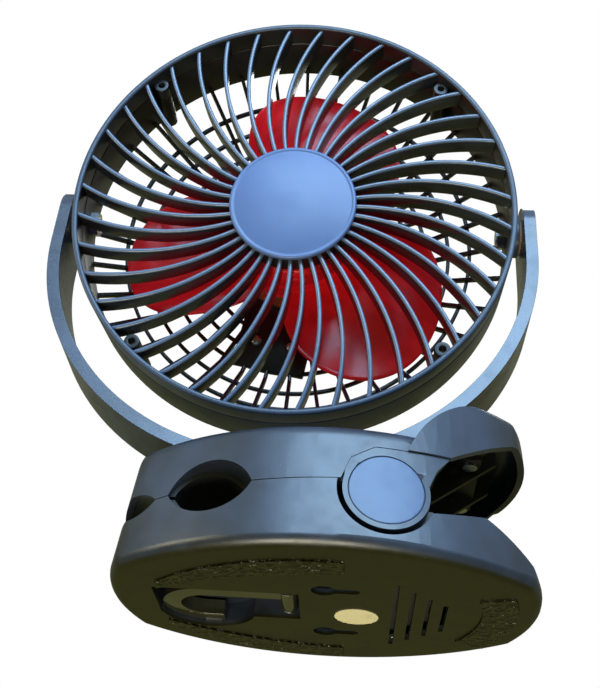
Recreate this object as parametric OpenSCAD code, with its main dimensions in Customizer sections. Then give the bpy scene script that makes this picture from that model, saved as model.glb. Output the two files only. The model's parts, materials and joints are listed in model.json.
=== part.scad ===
// Portable camping fan: a caged fan head that tilts in a swivelling U-shaped yoke,
// carried by a spring clip with a squeeze handle, a battery inside its lower jaw
// and a fold-out hanging hook under it.
// Frame: origin on the standing surface under the swivel axis, +Z up,
// the fan blows towards -Y, the clip opens towards -X, the handle points towards +X.

/* [Clip body plan] */
// Length of the clip body from the mouth end to the handle end
base_length = 149; // [146:1:151]
// Depth of the clip body from front to back
base_depth = 115; // [113:1:117]
// Radius of the bowed long sides seen from above
side_arc = 97; // [94:1:100]
// Distance from the swivel axis to the middle of the clip body
body_offset = 21.5; // [21:0.5:22.5]
// Inward lean of the outer wall between its foot and the jaw top
draft = 4.3; // [3.6:0.1:5]
// Radius of the rounded bottom edge
bottom_round = 4; // [3.6:0.2:5]
// Wall thickness of the clip body
shell_wall = 2.4; // [2:0.1:2.8]

/* [Clip heights] */
// Height of the flat top of the upper jaw
jaw_top = 45; // [43:0.5:48]
// Height of the crown of the handle
handle_top = 65.3; // [63:0.1:66.5]
// Height of the handle's lower rim
handle_rim = 52; // [50:0.5:53]
// Height of the parting line of the jaws at the swivel axis
split_height = 23.3; // [23:0.1:24]
// Slope of the parting line
split_angle = 2.2; // [1.6:0.1:2.8]
// Clearance between the two jaws along the parting line
jaw_gap = 0.3; // [0.2:0.05:0.5]
// Height of the crown of the lower body under the handle
tail_top = 26; // [25:0.5:26.5]
// Radius of that crown seen from the front
tail_arc = 66; // [62:1:70]
// Radius of that crown seen from the handle end
tail_cross_arc = 130; // [120:5:150]

/* [Clip hinge] */
// Distance from the swivel axis to the hinge pin
pivot_x = 41; // [39:0.5:43]
// Height of the hinge pin
pivot_z = 21.8; // [21.4:0.1:22.2]
// Diameter of the hinge pin
pivot_pin_d = 5; // [4:0.5:6]
// Outer radius of the round hinge ears
ear_r = 14; // [13.6:0.1:14.2]
// Width of the dark gap round the hinge ears
ear_gap = 1.8; // [1.2:0.1:2.2]
// Distance from the body's side to the inner face of each ear
ear_inset = 12.7; // [11.5:0.1:13.5]
// Radius of the flush cap over each pin end
pivot_cap_r = 12.2; // [11:0.1:12.4]
// Thickness of the flush cap
pivot_cap_t = 1.5; // [1:0.1:2]
// Thickness of the lug that holds the pin on each side
lug_t = 5.3; // [4:0.1:5.5]
// Wire diameter of the clip spring
spring_wire = 1.6; // [1.2:0.1:1.8]
// Mean radius of the spring's coil
spring_r = 4.4; // [4:0.1:4.6]
// Number of turns of the coil
spring_turns = 12; // [8:1:16]

/* [Clip mouth] */
// Position of the middle of the pole groove
groove_x = -16.2; // [-17:0.2:-16]
// Width of the pole groove along the parting line
groove_w = 28.6; // [26:0.2:28.8]
// Depth of the groove in the lower jaw
groove_low = 9; // [7:0.2:9]
// Depth of the groove in the upper jaw
groove_high = 9.9; // [7:0.1:10]
// Thickness of the rubber liners in the groove
liner_t = 1.6; // [1.2:0.1:2]
// Length of the rubber liners
liner_length = 76; // [60:1:80]
// Position of the middle of the flared mouth
mouth_x = -44.5; // [-45:0.5:-44]
// Width of the flared mouth along the parting line
mouth_w = 19; // [17:0.5:19]
// Depth of the flare in each jaw
mouth_flare = 4.5; // [4:0.1:4.8]

/* [Underside] */
// Height of the body's underside above the standing surface
foot_stand = 0.6; // [0.4:0.1:1]
// Thickness of the bottom wall
floor_t = 2.4; // [2:0.1:2.8]
// Thickness of the anti-slip foot pads
pad_t = 1.2; // [1:0.1:1.6]
// Sideways offset of the middle of the keyholes, the label and the pads
underside_y = 3; // [2:0.5:3.5]
// Distance between the two keyholes
keyhole_spacing = 42; // [40:1:44]
// Distance from the swivel axis to the keyholes' round ends
keyhole_x = 21.8; // [20:0.2:23]
// Diameter of the keyholes' round ends
keyhole_d = 8.6; // [8:0.2:9.4]
// Width of the keyholes' slots
keyhole_slot = 4.2; // [3.6:0.1:4.6]
// Distance from the round end to the end of the slot
keyhole_run = 10; // [8:0.5:11]
// Distance from the swivel axis to the first vent
vent_x = 46; // [45:0.5:48]
// Spacing of the vents
vent_pitch = 5.7; // [5:0.1:6]
// Length of the longest vent
vent_length = 61; // [50:1:64]
// How much shorter each next vent is
vent_shrink = 11.5; // [8:0.5:13]
// Width of the vents
vent_w = 1.6; // [1.2:0.1:2.4]

/* [Hanging hook] */
// Distance from the swivel axis to the hook's hinge
hook_hinge_x = 9; // [8:0.5:9.5]
// Height of the hook's hinge
hook_hinge_z = 5.3; // [5:0.1:5.6]
// Outer radius of the hook's bend
hook_r = 16; // [14:0.5:16.5]
// Width of the hook's bar
hook_bar = 6.5; // [5.5:0.1:7]
// Thickness of the hook's bar
hook_t = 5.4; // [4.6:0.1:5.8]
// Position of the middle of the hook's bend, along the clip
hook_bend_x = -20; // [-20.5:0.5:-18]
// Position of the middle of the hook's bend, across the clip
hook_bend_y = 8; // [7:0.5:9]
// Diameter of the hook's hinge pin
hook_pin_d = 2.4; // [2:0.1:2.8]
// Side clearance of the hook in its pocket
hook_clear = 1; // [0.8:0.1:1.4]

/* [Battery and controls] */
// Width of the battery cells along the clip
cell_w = 41; // [36:0.5:41.5]
// Distance from the body's side to the end of the battery cells
cell_end_gap = 20.9; // [20.5:0.1:25]
// Thickness of the battery cells
cell_t = 5.4; // [4.6:0.1:5.4]
// Diameter of the power button
button_d = 8; // [7:0.2:8.6]
// Travel of the power button
button_travel = 0.8; // [0.6:0.1:0.8]
// Distance from the swivel axis to the power button
button_x = 21; // [20.5:0.1:22]
// Height of the power button
button_z = 9; // [9:0.1:10]
// Distance from the swivel axis to the charging port
port_x = -2; // [-2.4:0.1:-1]

/* [Yoke] */
// Gap between the head's rim and the arms of the yoke
yoke_gap = 4; // [3:0.1:5]
// Thickness of the yoke's band
yoke_t = 5; // [4.6:0.1:5.4]
// Width of the yoke's band
yoke_w = 26; // [24:0.5:30]
// Height of the straight legs between the bow and the tilt axis
yoke_leg = 19; // [16:0.5:24]
// Radius of the swivel foot
swivel_r = 17; // [15:0.5:18]
// Height of the raised swivel seat on the upper jaw
swivel_seat = 1.5; // [1:0.1:2]
// Running clearance under the swivel foot
swivel_gap = 0.3; // [0.2:0.05:0.5]
// Diameter of the swivel bolt
swivel_bolt_d = 10; // [8:0.5:11]
// Diameter of the tilt bolts
tilt_bolt_d = 6; // [5:0.5:7]

/* [Fan head] */
// Tilt of the fan head as drawn, front down
head_tilt = 10.5; // [-60:0.5:60]
// Outer radius of the fan head
head_r = 92.5; // [91:0.5:93]
// Wall thickness of the fan head
head_wall = 2.4; // [2:0.1:2.8]
// Distance from the tilt axis to the front rim
rim_front = 24; // [23:0.5:26]
// Distance from the tilt axis to the seam between the two halves
seam = 13; // [12:0.2:14]
// Distance from the tilt axis back to the start of the rear taper
taper_back = 9; // [8.6:0.2:10]
// Distance from the tilt axis to the flat back
back = 25; // [24:0.5:27]
// Radius of the flat back
back_r = 62; // [58:1:64]
// Number of swirl ribs of the front grille
rib_count = 40; // [32:1:44]
// Thickness of the swirl ribs
rib_t = 1.8; // [1.4:0.1:2.2]
// Depth of the swirl ribs
rib_depth = 9; // [6:0.5:9.5]
// Radius of the arc that each rib follows
rib_arc = 90; // [84:1:96]
// Distance from the fan axis to the centre of each rib's arc
rib_arc_centre = 94; // [92:1:96]
// Radius of the centre disc
disc_r = 26.4; // [24:0.2:28]
// Number of rear ribs
rear_rib_count = 36; // [24:1:40]
// Thickness of the rear ribs and rings
rear_rib_t = 1.6; // [1.4:0.1:2]

/* [Rotor and motor] */
// Tip radius of the blades
blade_tip_r = 76; // [70:0.5:77]
// Number of blades
blade_count = 3; // [3:1:3]
// Radius of each blade's rounded outline
blade_round = 34; // [30:0.5:34]
// Pitch angle of the blades
blade_pitch = 15.6; // [12:0.2:17]
// Radius of the blades' camber
blade_camber = 70; // [65:1:90]
// Thickness of the blades
blade_t = 1.6; // [1.4:0.1:2]
// Turn of the first blade from straight right
blade_turn = 75; // [0:1:119]
// Outer radius of the rotor hub
hub_r = 24.5; // [23.5:0.1:25]
// Outer radius of the motor's steel cup
cup_r = 19.5; // [18:0.1:20]
// Diameter of the motor shaft
shaft_d = 4; // [3:0.5:5]

/* [Hidden] */

// Running and seating clearances
run_fit = 0.05;
seat_fit = 0.15;
far = 400;

// Clip body derived values
side_shift = side_arc - base_depth / 2;
end_arc = base_length / 2;
draft_start = foot_stand + bottom_round;
draft_height = jaw_top - draft_start;
floor_top = foot_stand + floor_t;
notch_r = ear_r + ear_gap;
pin_r = pivot_pin_d / 2;
ear_inner = base_depth / 2 - ear_inset;
lug_outer = ear_inner - 0.3;
top_round = 5;
handle_round = 7;
// The handle's crown seen from the front
handle_arc = 40;
handle_arc_x = body_offset + 64.5;
handle_arc_z = handle_top - handle_arc;
// The well in the deck that leaves room for the hinge
well_left = pivot_x - 15;
well_right = pivot_x + 16.5;
deck_t = 2.4;
well_t = 1.8;
groove_low_r = arc_radius(groove_w / 2, groove_low);
groove_high_r = arc_radius(groove_w / 2, groove_high);
mouth_r = arc_radius(mouth_w / 2, mouth_flare);
black = [0.09, 0.09, 0.1];
dark = [0.05, 0.05, 0.055];
rubber = [0.14, 0.14, 0.14];
steel = [0.72, 0.73, 0.75];
red = [0.78, 0.05, 0.08];

// Radius of a circular arc from half its chord and its depth
function arc_radius(half_chord, depth) = (half_chord * half_chord + depth * depth) / (2 * depth);
// Height of the parting line at a distance from the swivel axis
function split(x) = split_height + x * tan(split_angle);
// Radius of a drafted wall at a height
function drafted(r, z) = r - draft * min(1, max(0, z - draft_start) / draft_height);
// Distance from the mid plane to the bowed outer wall
function side_y(x, z) = sqrt(pow(drafted(side_arc, z), 2) - pow(x - body_offset, 2)) - side_shift;
function arc_points(cx, cy, r, from, to) =
    [for (i = [0:6]) [cx + r * cos(from + (to - from) * i / 6), cy + r * sin(from + (to - from) * i / 6)]];

// ---------- shared shapes of the clip body ----------

// Extrudes an outline drawn in the X-Z plane along Y, centred on the mid plane
module along_y(depth = far) {
    rotate([90, 0, 0]) linear_extrude(height = depth, center = true) children();
}

// One round drafted slice with a rounded bottom and top edge
module puck(r, bottom, top, round_low, round_high) {
    high_r = drafted(r, top - round_high);
    rotate_extrude()
        polygon(concat(
            [[0, bottom]],
            arc_points(r - round_low, bottom + round_low, round_low, -90, 0),
            arc_points(high_r - round_high, top - round_high, round_high, 0, 90),
            [[0, top]]
        ));
}

// The clip body's plan: two bowed sides and two round ends
module body_block(inset, bottom, top, round_low, round_high) {
    translate([body_offset, 0, 0]) intersection() {
        translate([0, side_shift, 0]) puck(side_arc - inset, bottom, top, round_low, round_high);
        translate([0, -side_shift, 0]) puck(side_arc - inset, bottom, top, round_low, round_high);
        puck(end_arc - inset, bottom, top, round_low, round_high);
    }
}

module at_pivot() {
    translate([pivot_x, pivot_z]) children();
}

// Round hollows that the two jaws share along the parting line
module low_groove(grow = 0) {
    translate([groove_x, split(groove_x)]) rotate(split_angle)
        translate([0, groove_low_r - groove_low]) circle(groove_low_r + grow);
}

module high_groove(grow = 0) {
    translate([groove_x, split(groove_x)]) rotate(split_angle)
        translate([0, groove_high - groove_high_r]) circle(groove_high_r + grow);
}

module low_mouth(grow = 0) {
    translate([mouth_x, split(mouth_x)]) rotate(split_angle)
        translate([0, mouth_r - mouth_flare]) circle(mouth_r + grow);
}

module high_mouth(grow = 0) {
    translate([mouth_x, split(mouth_x)]) rotate(split_angle)
        translate([0, mouth_flare - mouth_r]) circle(mouth_r + grow);
}

// Everything below the parting line, lowered by drop, up to x = right
module below_split(drop, right) {
    polygon([
        [-far, -far], [right, -far],
        [right, split(right) - drop], [-far, split(-far) - drop]
    ]);
}

// A slanted strip under the parting line
module split_strip(drop, thick, left, right) {
    polygon([
        [left, split(left) - drop - thick], [right, split(right) - drop - thick],
        [right, split(right) - drop], [left, split(left) - drop]
    ]);
}

// Crowned roof of the lower body under the handle
module tail_crown(inset) {
    intersection() {
        translate([pivot_x, -far / 2, 0]) cube([far, far, far]);
        along_y() translate([pivot_x + 4, tail_top - tail_arc]) circle(tail_arc - inset);
        translate([0, 0, tail_top - tail_cross_arc]) rotate([0, 90, 0])
            cylinder(h = far, r = tail_cross_arc - inset, center = true);
    }
}

// ---------- hook pocket, keyholes, vents and pads ----------

hook_knuckle_r = 3.6;
hook_knuckle_w = 16;
hook_hinge_y = hook_bend_y - hook_r + hook_knuckle_w / 2;
pocket_right = hook_hinge_x + hook_knuckle_r + 0.6;
pocket_low = hook_bend_y - hook_r - 2 * hook_clear - 3;
pocket_high = hook_hinge_y + hook_knuckle_w / 2 + 4;
pocket_roof = hook_hinge_z + hook_t / 2 + 1.2;
pocket_wall = 1.6;
hook_pin_span = pocket_high - pocket_low + 2 * 1.1;
hook_pin_y = (pocket_low + pocket_high) / 2;
keyhole_roof = floor_top + 2.8;
keyhole_wall = 1.2;
// Places of the screws that hold the deck down
deck_screw_inset = 18.5;
board_screw_inset = 13.6;
deck_screws = [
    [-32.3, underside_y - 20.8], [11.2, deck_screw_inset - base_depth / 2],
    [15, base_depth / 2 - board_screw_inset]
];
cell_l = base_depth / 2 - cell_end_gap;
screw_post_r = 3.4;
screw_head_r = 2.7;
screw_shaft_r = 1.5;
// Foot pads: crescents between two arcs, and an arc at the handle end
pad_outer_centre = [21.3, 26.3];
pad_outer = 74.1;
pad_inner_centre = [34, 82];
pad_inner = 120;
pad_left = -35.3;
pad_right = 28.5;
end_pad_outer = 66.5;
end_pad_inner = 54.5;
label_place = [33, underside_y + 3];
label_r = 7.7;

module pocket_outline(grow) {
    translate([hook_bend_x, hook_bend_y]) circle(hook_r + hook_clear + grow);
    translate([hook_bend_x - hook_r - hook_clear - grow, pocket_low - grow])
        square([pocket_right - hook_bend_x + hook_r + hook_clear + 2 * grow,
            pocket_high - pocket_low + 2 * grow]);
}

module keyhole_outline() {
    circle(d = keyhole_d);
    translate([0, -keyhole_slot / 2]) square([keyhole_run, keyhole_slot]);
    translate([keyhole_run, 0]) circle(d = keyhole_slot);
}

module at_keyholes() {
    for (side = [-1, 1]) translate([keyhole_x, underside_y + side * keyhole_spacing / 2, 0]) children();
}

module vents() {
    for (i = [0:3])
        translate([vent_x + i * vent_pitch, underside_y + 1, foot_stand + floor_t / 2])
            cube([vent_w, vent_length - i * vent_shrink, floor_t + 2], center = true);
}

module long_pad_outline(grow) {
    difference() {
        intersection() {
            translate(pad_outer_centre) circle(pad_outer + grow);
            translate([pad_left - grow, -far]) square([pad_right - pad_left + 2 * grow, far]);
        }
        translate(pad_inner_centre) circle(pad_inner - grow);
    }
}

module long_pad(side, grow, bottom, thick) {
    translate([0, underside_y, bottom]) mirror([0, side > 0 ? 0 : 1, 0])
        linear_extrude(height = thick) long_pad_outline(grow);
}

module end_pad(grow, bottom, thick) {
    translate([body_offset, 0, bottom]) rotate([0, 0, -17 - grow / 2])
        rotate_extrude(angle = 46 + grow)
            translate([end_pad_inner - grow, 0])
                square([end_pad_outer - end_pad_inner + 2 * grow, thick]);
}

// ---------- lower jaw and base ----------

module base_outer() {
    intersection() {
        body_block(0, foot_stand, jaw_top, bottom_round, top_round);
        union() {
            along_y() below_split(jaw_gap / 2, pivot_x);
            tail_crown(0);
        }
    }
}

module base_inner() {
    intersection() {
        body_block(shell_wall, floor_top, jaw_top, bottom_round - shell_wall, top_round);
        union() {
            along_y() below_split(-far / 20, pivot_x);
            tail_crown(shell_wall);
        }
    }
}

// Space under the deck, which the posts must stay inside
module under_deck(gap) {
    difference() {
        below_split(jaw_gap / 2 + deck_t + gap, far / 2);
        low_groove(deck_t + gap);
        low_mouth(deck_t + gap);
    }
}

module hook_ears() {
    for (y = [pocket_low, hook_hinge_y + hook_knuckle_w / 2 + 0.3])
        translate([hook_hinge_x, y, hook_hinge_z]) rotate([-90, 0, 0]) {
            cylinder(h = hook_ear_t(y), r = 3.2);
            translate([-3.2, -(pocket_roof - hook_hinge_z) - 0.5, 0])
                cube([6.4, pocket_roof - hook_hinge_z + 0.5, hook_ear_t(y)]);
        }
}
function hook_ear_t(y) = y < 0
    ? hook_hinge_y - hook_knuckle_w / 2 - 0.3 - pocket_low
    : pocket_high - hook_hinge_y - hook_knuckle_w / 2 - 0.3;

module base_solid() {
    difference() {
        base_outer();
        base_inner();
    }
    // walls and roof of the hook pocket
    translate([0, 0, floor_top - 0.5]) linear_extrude(height = pocket_roof + pocket_wall - floor_top + 0.5)
        pocket_outline(pocket_wall);
    // blind boxes over the keyholes
    at_keyholes() translate([keyhole_run / 2, 0, (floor_top + keyhole_roof + keyhole_wall) / 2 - 0.25])
        cube([keyhole_run + keyhole_d + 4, keyhole_d + 4, keyhole_roof + keyhole_wall - floor_top + 0.5],
            center = true);
    // posts for the deck screws
    intersection() {
        for (place = deck_screws)
            translate([place[0], place[1], floor_top - 0.5]) cylinder(h = far / 10, r = screw_post_r);
        along_y() under_deck(0.1);
    }
    // slotted posts that hold the control board
    difference() {
        for (x = [board_left, board_right])
            translate([x - 2.5, board_y - 2.4, floor_top - 0.5]) cube([5, board_t + 4.4, board_post_h]);
        translate([board_left - 3, board_y - seat_fit, floor_top + 1])
            cube([board_right - board_left + 6, board_t + 2 * seat_fit, board_post_h]);
    }
}

module base_shell() {
    color(black) difference() {
        union() {
            base_hollowed();
            hook_ears();
        }
        hook_pin_bore();
    }
}

module base_hollowed() {
    difference() {
        base_solid();
        translate([0, 0, -1]) linear_extrude(height = pocket_roof + 1) pocket_outline(0);
        at_keyholes() translate([0, 0, -1]) linear_extrude(height = floor_top + 1.2) keyhole_outline();
        at_keyholes() translate([keyhole_run / 2, 0, (floor_top + keyhole_roof) / 2])
            cube([keyhole_run + keyhole_d + 1, keyhole_d + 1, keyhole_roof - floor_top], center = true);
        vents();
        along_y() at_pivot() circle(notch_r);
        along_y() low_groove();
        along_y() low_mouth();
        for (side = [1, -1]) long_pad(side, pad_seat, 0, pad_t);
        end_pad(pad_seat, 0, pad_t);
        for (place = deck_screws) translate([place[0], place[1], -1]) {
            cylinder(h = pad_t + 1 + screw_head_h, r = screw_head_r + seat_fit);
            cylinder(h = far / 10, r = screw_shaft_r + run_fit);
        }
        // openings in the rear wall
        translate([button_x, wall_back - 6, button_z]) rotate([-90, 0, 0])
            cylinder(h = 12, r = button_d / 2 + run_fit);
        translate([port_x, wall_back, port_z]) cube([port_w + 0.4, 16, port_h + 0.4], center = true);
        for (i = [0:3]) translate([light_x(i), wall_back - 6, light_z]) rotate([-90, 0, 0])
            cylinder(h = 12, r = light_r + run_fit);
    }
}
pad_seat = 0.15;
screw_head_h = 1.8;

module hook_pin_bore() {
    translate([hook_hinge_x, hook_pin_y, hook_hinge_z]) rotate([90, 0, 0])
        cylinder(h = hook_pin_span, r = hook_pin_d / 2 + run_fit, center = true);
}

// ---------- control parts on the rear wall ----------

wall_back = base_depth / 2 - shell_wall;
board_y = base_depth / 2 - 9.8;
board_t = 1.6;
board_left = port_x - 6;
board_right = button_x + 6;
board_top = 13.4;
board_post_h = 7;
port_w = 9;
port_h = 3.3;
port_z = 9;
light_z = 9;
light_r = 1;
light_bar_y = side_y(light_x(0), light_z) - shell_wall - 1.6;
function light_x(i) = (port_x + button_x) / 2 + (i - 1.5) * 2.6;

// ---------- pieces of the base ----------

module deck_profile() {
    difference() {
        below_split(jaw_gap / 2, well_left);
        low_groove();
        low_mouth();
        difference() {
            below_split(jaw_gap / 2 + deck_t, far);
            low_groove(deck_t);
            low_mouth(deck_t);
        }
    }
    translate([well_left - deck_t, well_top - well_t])
        square([deck_t, split(well_left) - jaw_gap / 2 - well_top + well_t - 0.4]);
    translate([well_left - deck_t, well_top - well_t])
        square([well_right - well_left + deck_t, well_t]);
    translate([well_right - well_t, well_top - well_t]) square([well_t, 8]);
}

module base_deck() {
    color(dark) difference() {
        union() {
            intersection() {
                along_y() deck_profile();
                body_block(shell_wall + seat_fit, foot_stand, jaw_top, bottom_round, top_round);
                union() {
                    translate([-far / 2 + pivot_x, 0, 0]) cube(far, center = true);
                    tail_crown(shell_wall + seat_fit);
                }
            }
            for (side = [-1, 1]) translate([0, side * (lug_outer - lug_t / 2), 0]) along_y(lug_t) {
                at_pivot() circle(7.4);
                intersection() {
                    at_pivot() circle(notch_r - 0.4);
                    translate([pivot_x - far / 2, pivot_z - 3 - far]) square([far, far]);
                }
            }
        }
        along_y() at_pivot() circle(pin_r);
        for (side = [-1, 1]) translate([0, side * (lug_outer + far / 2), 0])
            along_y() at_pivot() circle(notch_r);
        for (place = deck_screws) translate([place[0], place[1], 0])
            cylinder(h = split(place[0]) - jaw_gap / 2 - 1, r = screw_shaft_r + run_fit);
    }
}

module lower_jaw_liner() {
    color(rubber) along_y(liner_length) intersection() {
        difference() {
            low_groove(-run_fit);
            low_groove(-liner_t);
        }
        below_split(0.6, pivot_x);
    }
}

module pivot_pin() {
    color(steel) along_y(2 * (side_y(pivot_x, pivot_z) - pivot_cap_t - 1.6)) at_pivot() circle(pin_r);
}

spring_pitch = spring_wire * 0.94;
spring_start = -spring_turns * spring_pitch / 2;
spring_foot_x = pivot_x + 12;

module clip_spring() {
    color(steel) {
        translate([pivot_x, 0, pivot_z]) rotate([-90, 0, 0]) rotate_extrude() {
            for (i = [0:spring_turns - 1])
                translate([spring_r, spring_start + i * spring_pitch]) circle(d = spring_wire);
            translate([spring_r - spring_wire / 4, spring_start])
                square([spring_wire / 2, (spring_turns - 1) * spring_pitch]);
        }
        translate([pivot_x, spring_start, pivot_z - spring_r]) rotate([0, 90, 0])
            cylinder(h = spring_foot_x - pivot_x, d = spring_wire * 0.9);
        translate([spring_foot_x - spring_wire / 2, spring_start, well_top + run_fit])
            cylinder(h = pivot_z - spring_r - well_top, d = spring_wire * 0.8);
    }
}

tray_bottom = keyhole_roof + keyhole_wall + run_fit;
tray_t = 1;
tray_left = pocket_right + pocket_wall + 0.4;
tray_wall = 1.2;
cell_bottom = tray_bottom + tray_t;
well_top = cell_bottom + cell_t + 0.35 + well_t;

module battery_tray() {
    color([0.85, 0.85, 0.83]) translate([tray_left, 0, tray_bottom]) difference() {
        translate([0, -cell_l - 0.4 - tray_wall, 0])
            cube([cell_w + 0.4 + 2 * tray_wall, 2 * (cell_l + 0.4 + tray_wall), 5]);
        for (side = [-1, 1]) translate([tray_wall, side * (cell_l + 0.4) / 2, tray_t])
            translate([0, -cell_l / 2 - 0.1, 0]) cube([cell_w + 0.4, cell_l + 0.2, 8]);
    }
}

module battery_cells() {
    color([0.2, 0.35, 0.6]) for (side = [-1, 1])
        translate([tray_left + tray_wall + 0.2, side * (cell_l + 0.4) / 2 - cell_l / 2, cell_bottom])
            cube([cell_w, cell_l, cell_t]);
}

module control_board() {
    color([0.05, 0.35, 0.15]) {
        translate([board_left, board_y, floor_top + 1.1])
            cube([board_right - board_left, board_t, board_top - floor_top - 1.1]);
        translate([board_left + 8, board_y - 2.5, floor_top + 3]) cube([8, 2.6, 6]);
    }
}

button_proud = 0.4;
button_flange_t = 1;
button_flange_r = button_d / 2 + 1.2;
button_flange_y = side_y(button_x + button_flange_r, button_z + button_flange_r)
    - shell_wall - button_flange_t - 0.4;

module button_switch() {
    color(steel) translate([button_x, board_y + board_t, button_z]) {
        translate([-3, 0, -3]) cube([6, 1.8, 6]);
        rotate([-90, 0, 0]) cylinder(h = button_flange_y - 0.1 - button_travel - board_y - board_t, r = 1.6);
    }
}

module power_button() {
    color(black) translate([button_x, button_flange_y, button_z]) rotate([-90, 0, 0]) {
        cylinder(h = side_y(button_x, button_z) + button_proud - button_flange_y, d = button_d);
        cylinder(h = button_flange_t, r = button_flange_r);
    }
}

module charge_port() {
    port_end = side_y(port_x, port_z) - 0.6;
    color(steel) translate([port_x, (board_y + board_t + port_end) / 2, port_z]) difference() {
        cube([port_w, port_end - board_y - board_t, port_h], center = true);
        translate([0, 1.2, 0])
            cube([port_w - 0.8, port_end - board_y - board_t, port_h - 0.8], center = true);
    }
}

module charge_lights() {
    color([0.8, 0.9, 1]) {
        for (i = [0:3]) translate([light_x(i), light_bar_y + 0.5, light_z]) rotate([-90, 0, 0])
            cylinder(h = side_y(light_x(i), light_z) - light_bar_y - 0.7, r = light_r);
        translate([light_x(0) - 1.2, light_bar_y, light_z - 1.2])
            cube([light_x(3) - light_x(0) + 2.4, 1, 2.4]);
    }
}

module front_foot_pad() {
    color(rubber) long_pad(1, 0, 0, pad_t);
}

module rear_foot_pad() {
    color(rubber) long_pad(-1, 0, 0, pad_t);
}

module end_foot_pad() {
    color(rubber) end_pad(0, 0, pad_t);
}

module round_label() {
    color([0.9, 0.87, 0.72]) translate([label_place[0], label_place[1], foot_stand - 0.2])
        cylinder(h = 0.2, r = label_r);
}

module base_screws() {
    color(steel) for (place = deck_screws) translate([place[0], place[1], pad_t + 0.1]) {
        cylinder(h = screw_head_h - 0.2, r = screw_head_r);
        cylinder(h = split(place[0]) - jaw_gap / 2 - 1.4 - pad_t - 0.1, r = screw_shaft_r);
    }
}

module hanging_hook() {
    color(steel) difference() {
        union() {
            translate([hook_bend_x, hook_bend_y, hook_hinge_z - hook_t / 2]) {
                rotate([0, 0, 90]) rotate_extrude(angle = 180)
                    translate([hook_r - hook_bar, 0]) square([hook_bar, hook_t]);
                translate([0, hook_r - hook_bar, 0]) cube([5, hook_bar, hook_t]);
                translate([0, -hook_r, 0]) cube([hook_hinge_x - hook_bend_x, hook_bar, hook_t]);
            }
            translate([hook_hinge_x, hook_hinge_y, hook_hinge_z]) rotate([90, 0, 0])
                cylinder(h = hook_knuckle_w, r = hook_knuckle_r, center = true);
        }
        hook_pin_bore();
    }
}

module hook_pin() {
    color(steel) translate([hook_hinge_x, hook_pin_y, hook_hinge_z]) rotate([90, 0, 0])
        cylinder(h = hook_pin_span - 0.2, d = hook_pin_d, center = true);
}

// ---------- upper jaw and handle ----------

// Everything that the cover leaves to the lower jaw, the frame and the open handle
seam_points = [
    [pivot_x - ear_r - 0.6, split(pivot_x - ear_r - 0.6)], [pivot_x - ear_r + 2.3, pivot_z + 10.4],
    [pivot_x - 4, pivot_z + ear_r + 1.2], [pivot_x + 6, pivot_z + ear_r + 1.3],
    [pivot_x + 21, pivot_z + ear_r + 2], [pivot_x + 34.4, handle_rim - 5.7], [pivot_x + 44, handle_rim]
];

module under_cover(gap) {
    polygon(concat(
        [[-far, -far], [-far, split(-far) + gap]],
        [for (point = seam_points) [point[0], point[1] + gap]],
        [[far, handle_rim + gap], [far, -far]]
    ));
}

module cover_solid(inset) {
    intersection() {
        body_block(inset, foot_stand, handle_top - inset, bottom_round, handle_round - inset);
        along_y() translate([handle_arc_x, handle_arc_z]) circle(handle_arc - inset);
    }
    body_block(inset, foot_stand, jaw_top - inset, bottom_round, top_round - inset);
}

brace_screw_x = 71;
brace_screw_y = 18;
brace_rib_y = 12;
brace_plate_z = 50;
brace_plate_t = 2;
frame_screw_x = 14;
frame_screw_y = 30;

module upper_jaw_cover() {
    color(black) difference() {
        union() {
            difference() {
                cover_solid(0);
                cover_solid(shell_wall);
                along_y() under_cover(jaw_gap / 2);
                along_y() high_groove();
                along_y() high_mouth();
                along_y() at_pivot() circle(ear_r + jaw_gap);
            }
            translate([0, 0, jaw_top - 1]) cylinder(h = 1 + swivel_seat, r = swivel_r + 1);
            intersection() {
                cover_solid(shell_wall / 2);
                for (side = [-1, 1]) {
                    translate([brace_screw_x, side * brace_screw_y, brace_plate_z + brace_plate_t + 0.05])
                        cylinder(h = far / 10, r = 3.2);
                    translate([frame_screw_x, side * frame_screw_y, frame_top(frame_screw_x) + 0.6])
                        cylinder(h = far / 10, r = 3.4);
                }
            }
        }
        translate([0, 0, jaw_top - far / 20]) cylinder(h = far / 10, d = swivel_bolt_d + 2 * run_fit);
        for (side = [-1, 1]) {
            translate([brace_screw_x, side * brace_screw_y, brace_plate_z]) cylinder(h = 5.5, r = 1.45);
            translate([frame_screw_x, side * frame_screw_y, frame_top(frame_screw_x)])
                cylinder(h = 8, r = 1.45);
        }
    }
}

frame_t = 2.4;
function frame_top(x) = split(x) + jaw_gap / 2 + frame_t;

// The frame's plate along the parting line, arched over the groove and the mouth
module frame_profile() {
    difference() {
        union() {
            split_strip(-jaw_gap / 2 - frame_t, frame_t, -far / 2, pivot_x - 8);
            difference() {
                union() {
                    high_groove(frame_t);
                    intersection() {
                        high_mouth(frame_t);
                        translate([-far, -far]) square([far + groove_x - groove_w / 2, 2 * far]);
                    }
                }
                below_split(-jaw_gap / 2, far / 2);
            }
        }
        high_groove();
        high_mouth();
    }
}

// Round ear with the cheek that rises from it to the cover's seam
module ear_profile() {
    at_pivot() circle(ear_r);
    intersection() {
        under_cover(-jaw_gap / 2);
        polygon([
            [pivot_x - ear_r + 0.5, pivot_z], [pivot_x + ear_r - 0.6, pivot_z + 3],
            [pivot_x + ear_r + 2.2, pivot_z + 10], [pivot_x + 21, pivot_z + ear_r + 2.2],
            [pivot_x + 21, pivot_z + 20], [pivot_x - ear_r + 0.5, pivot_z + 20]
        ]);
    }
}

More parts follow.
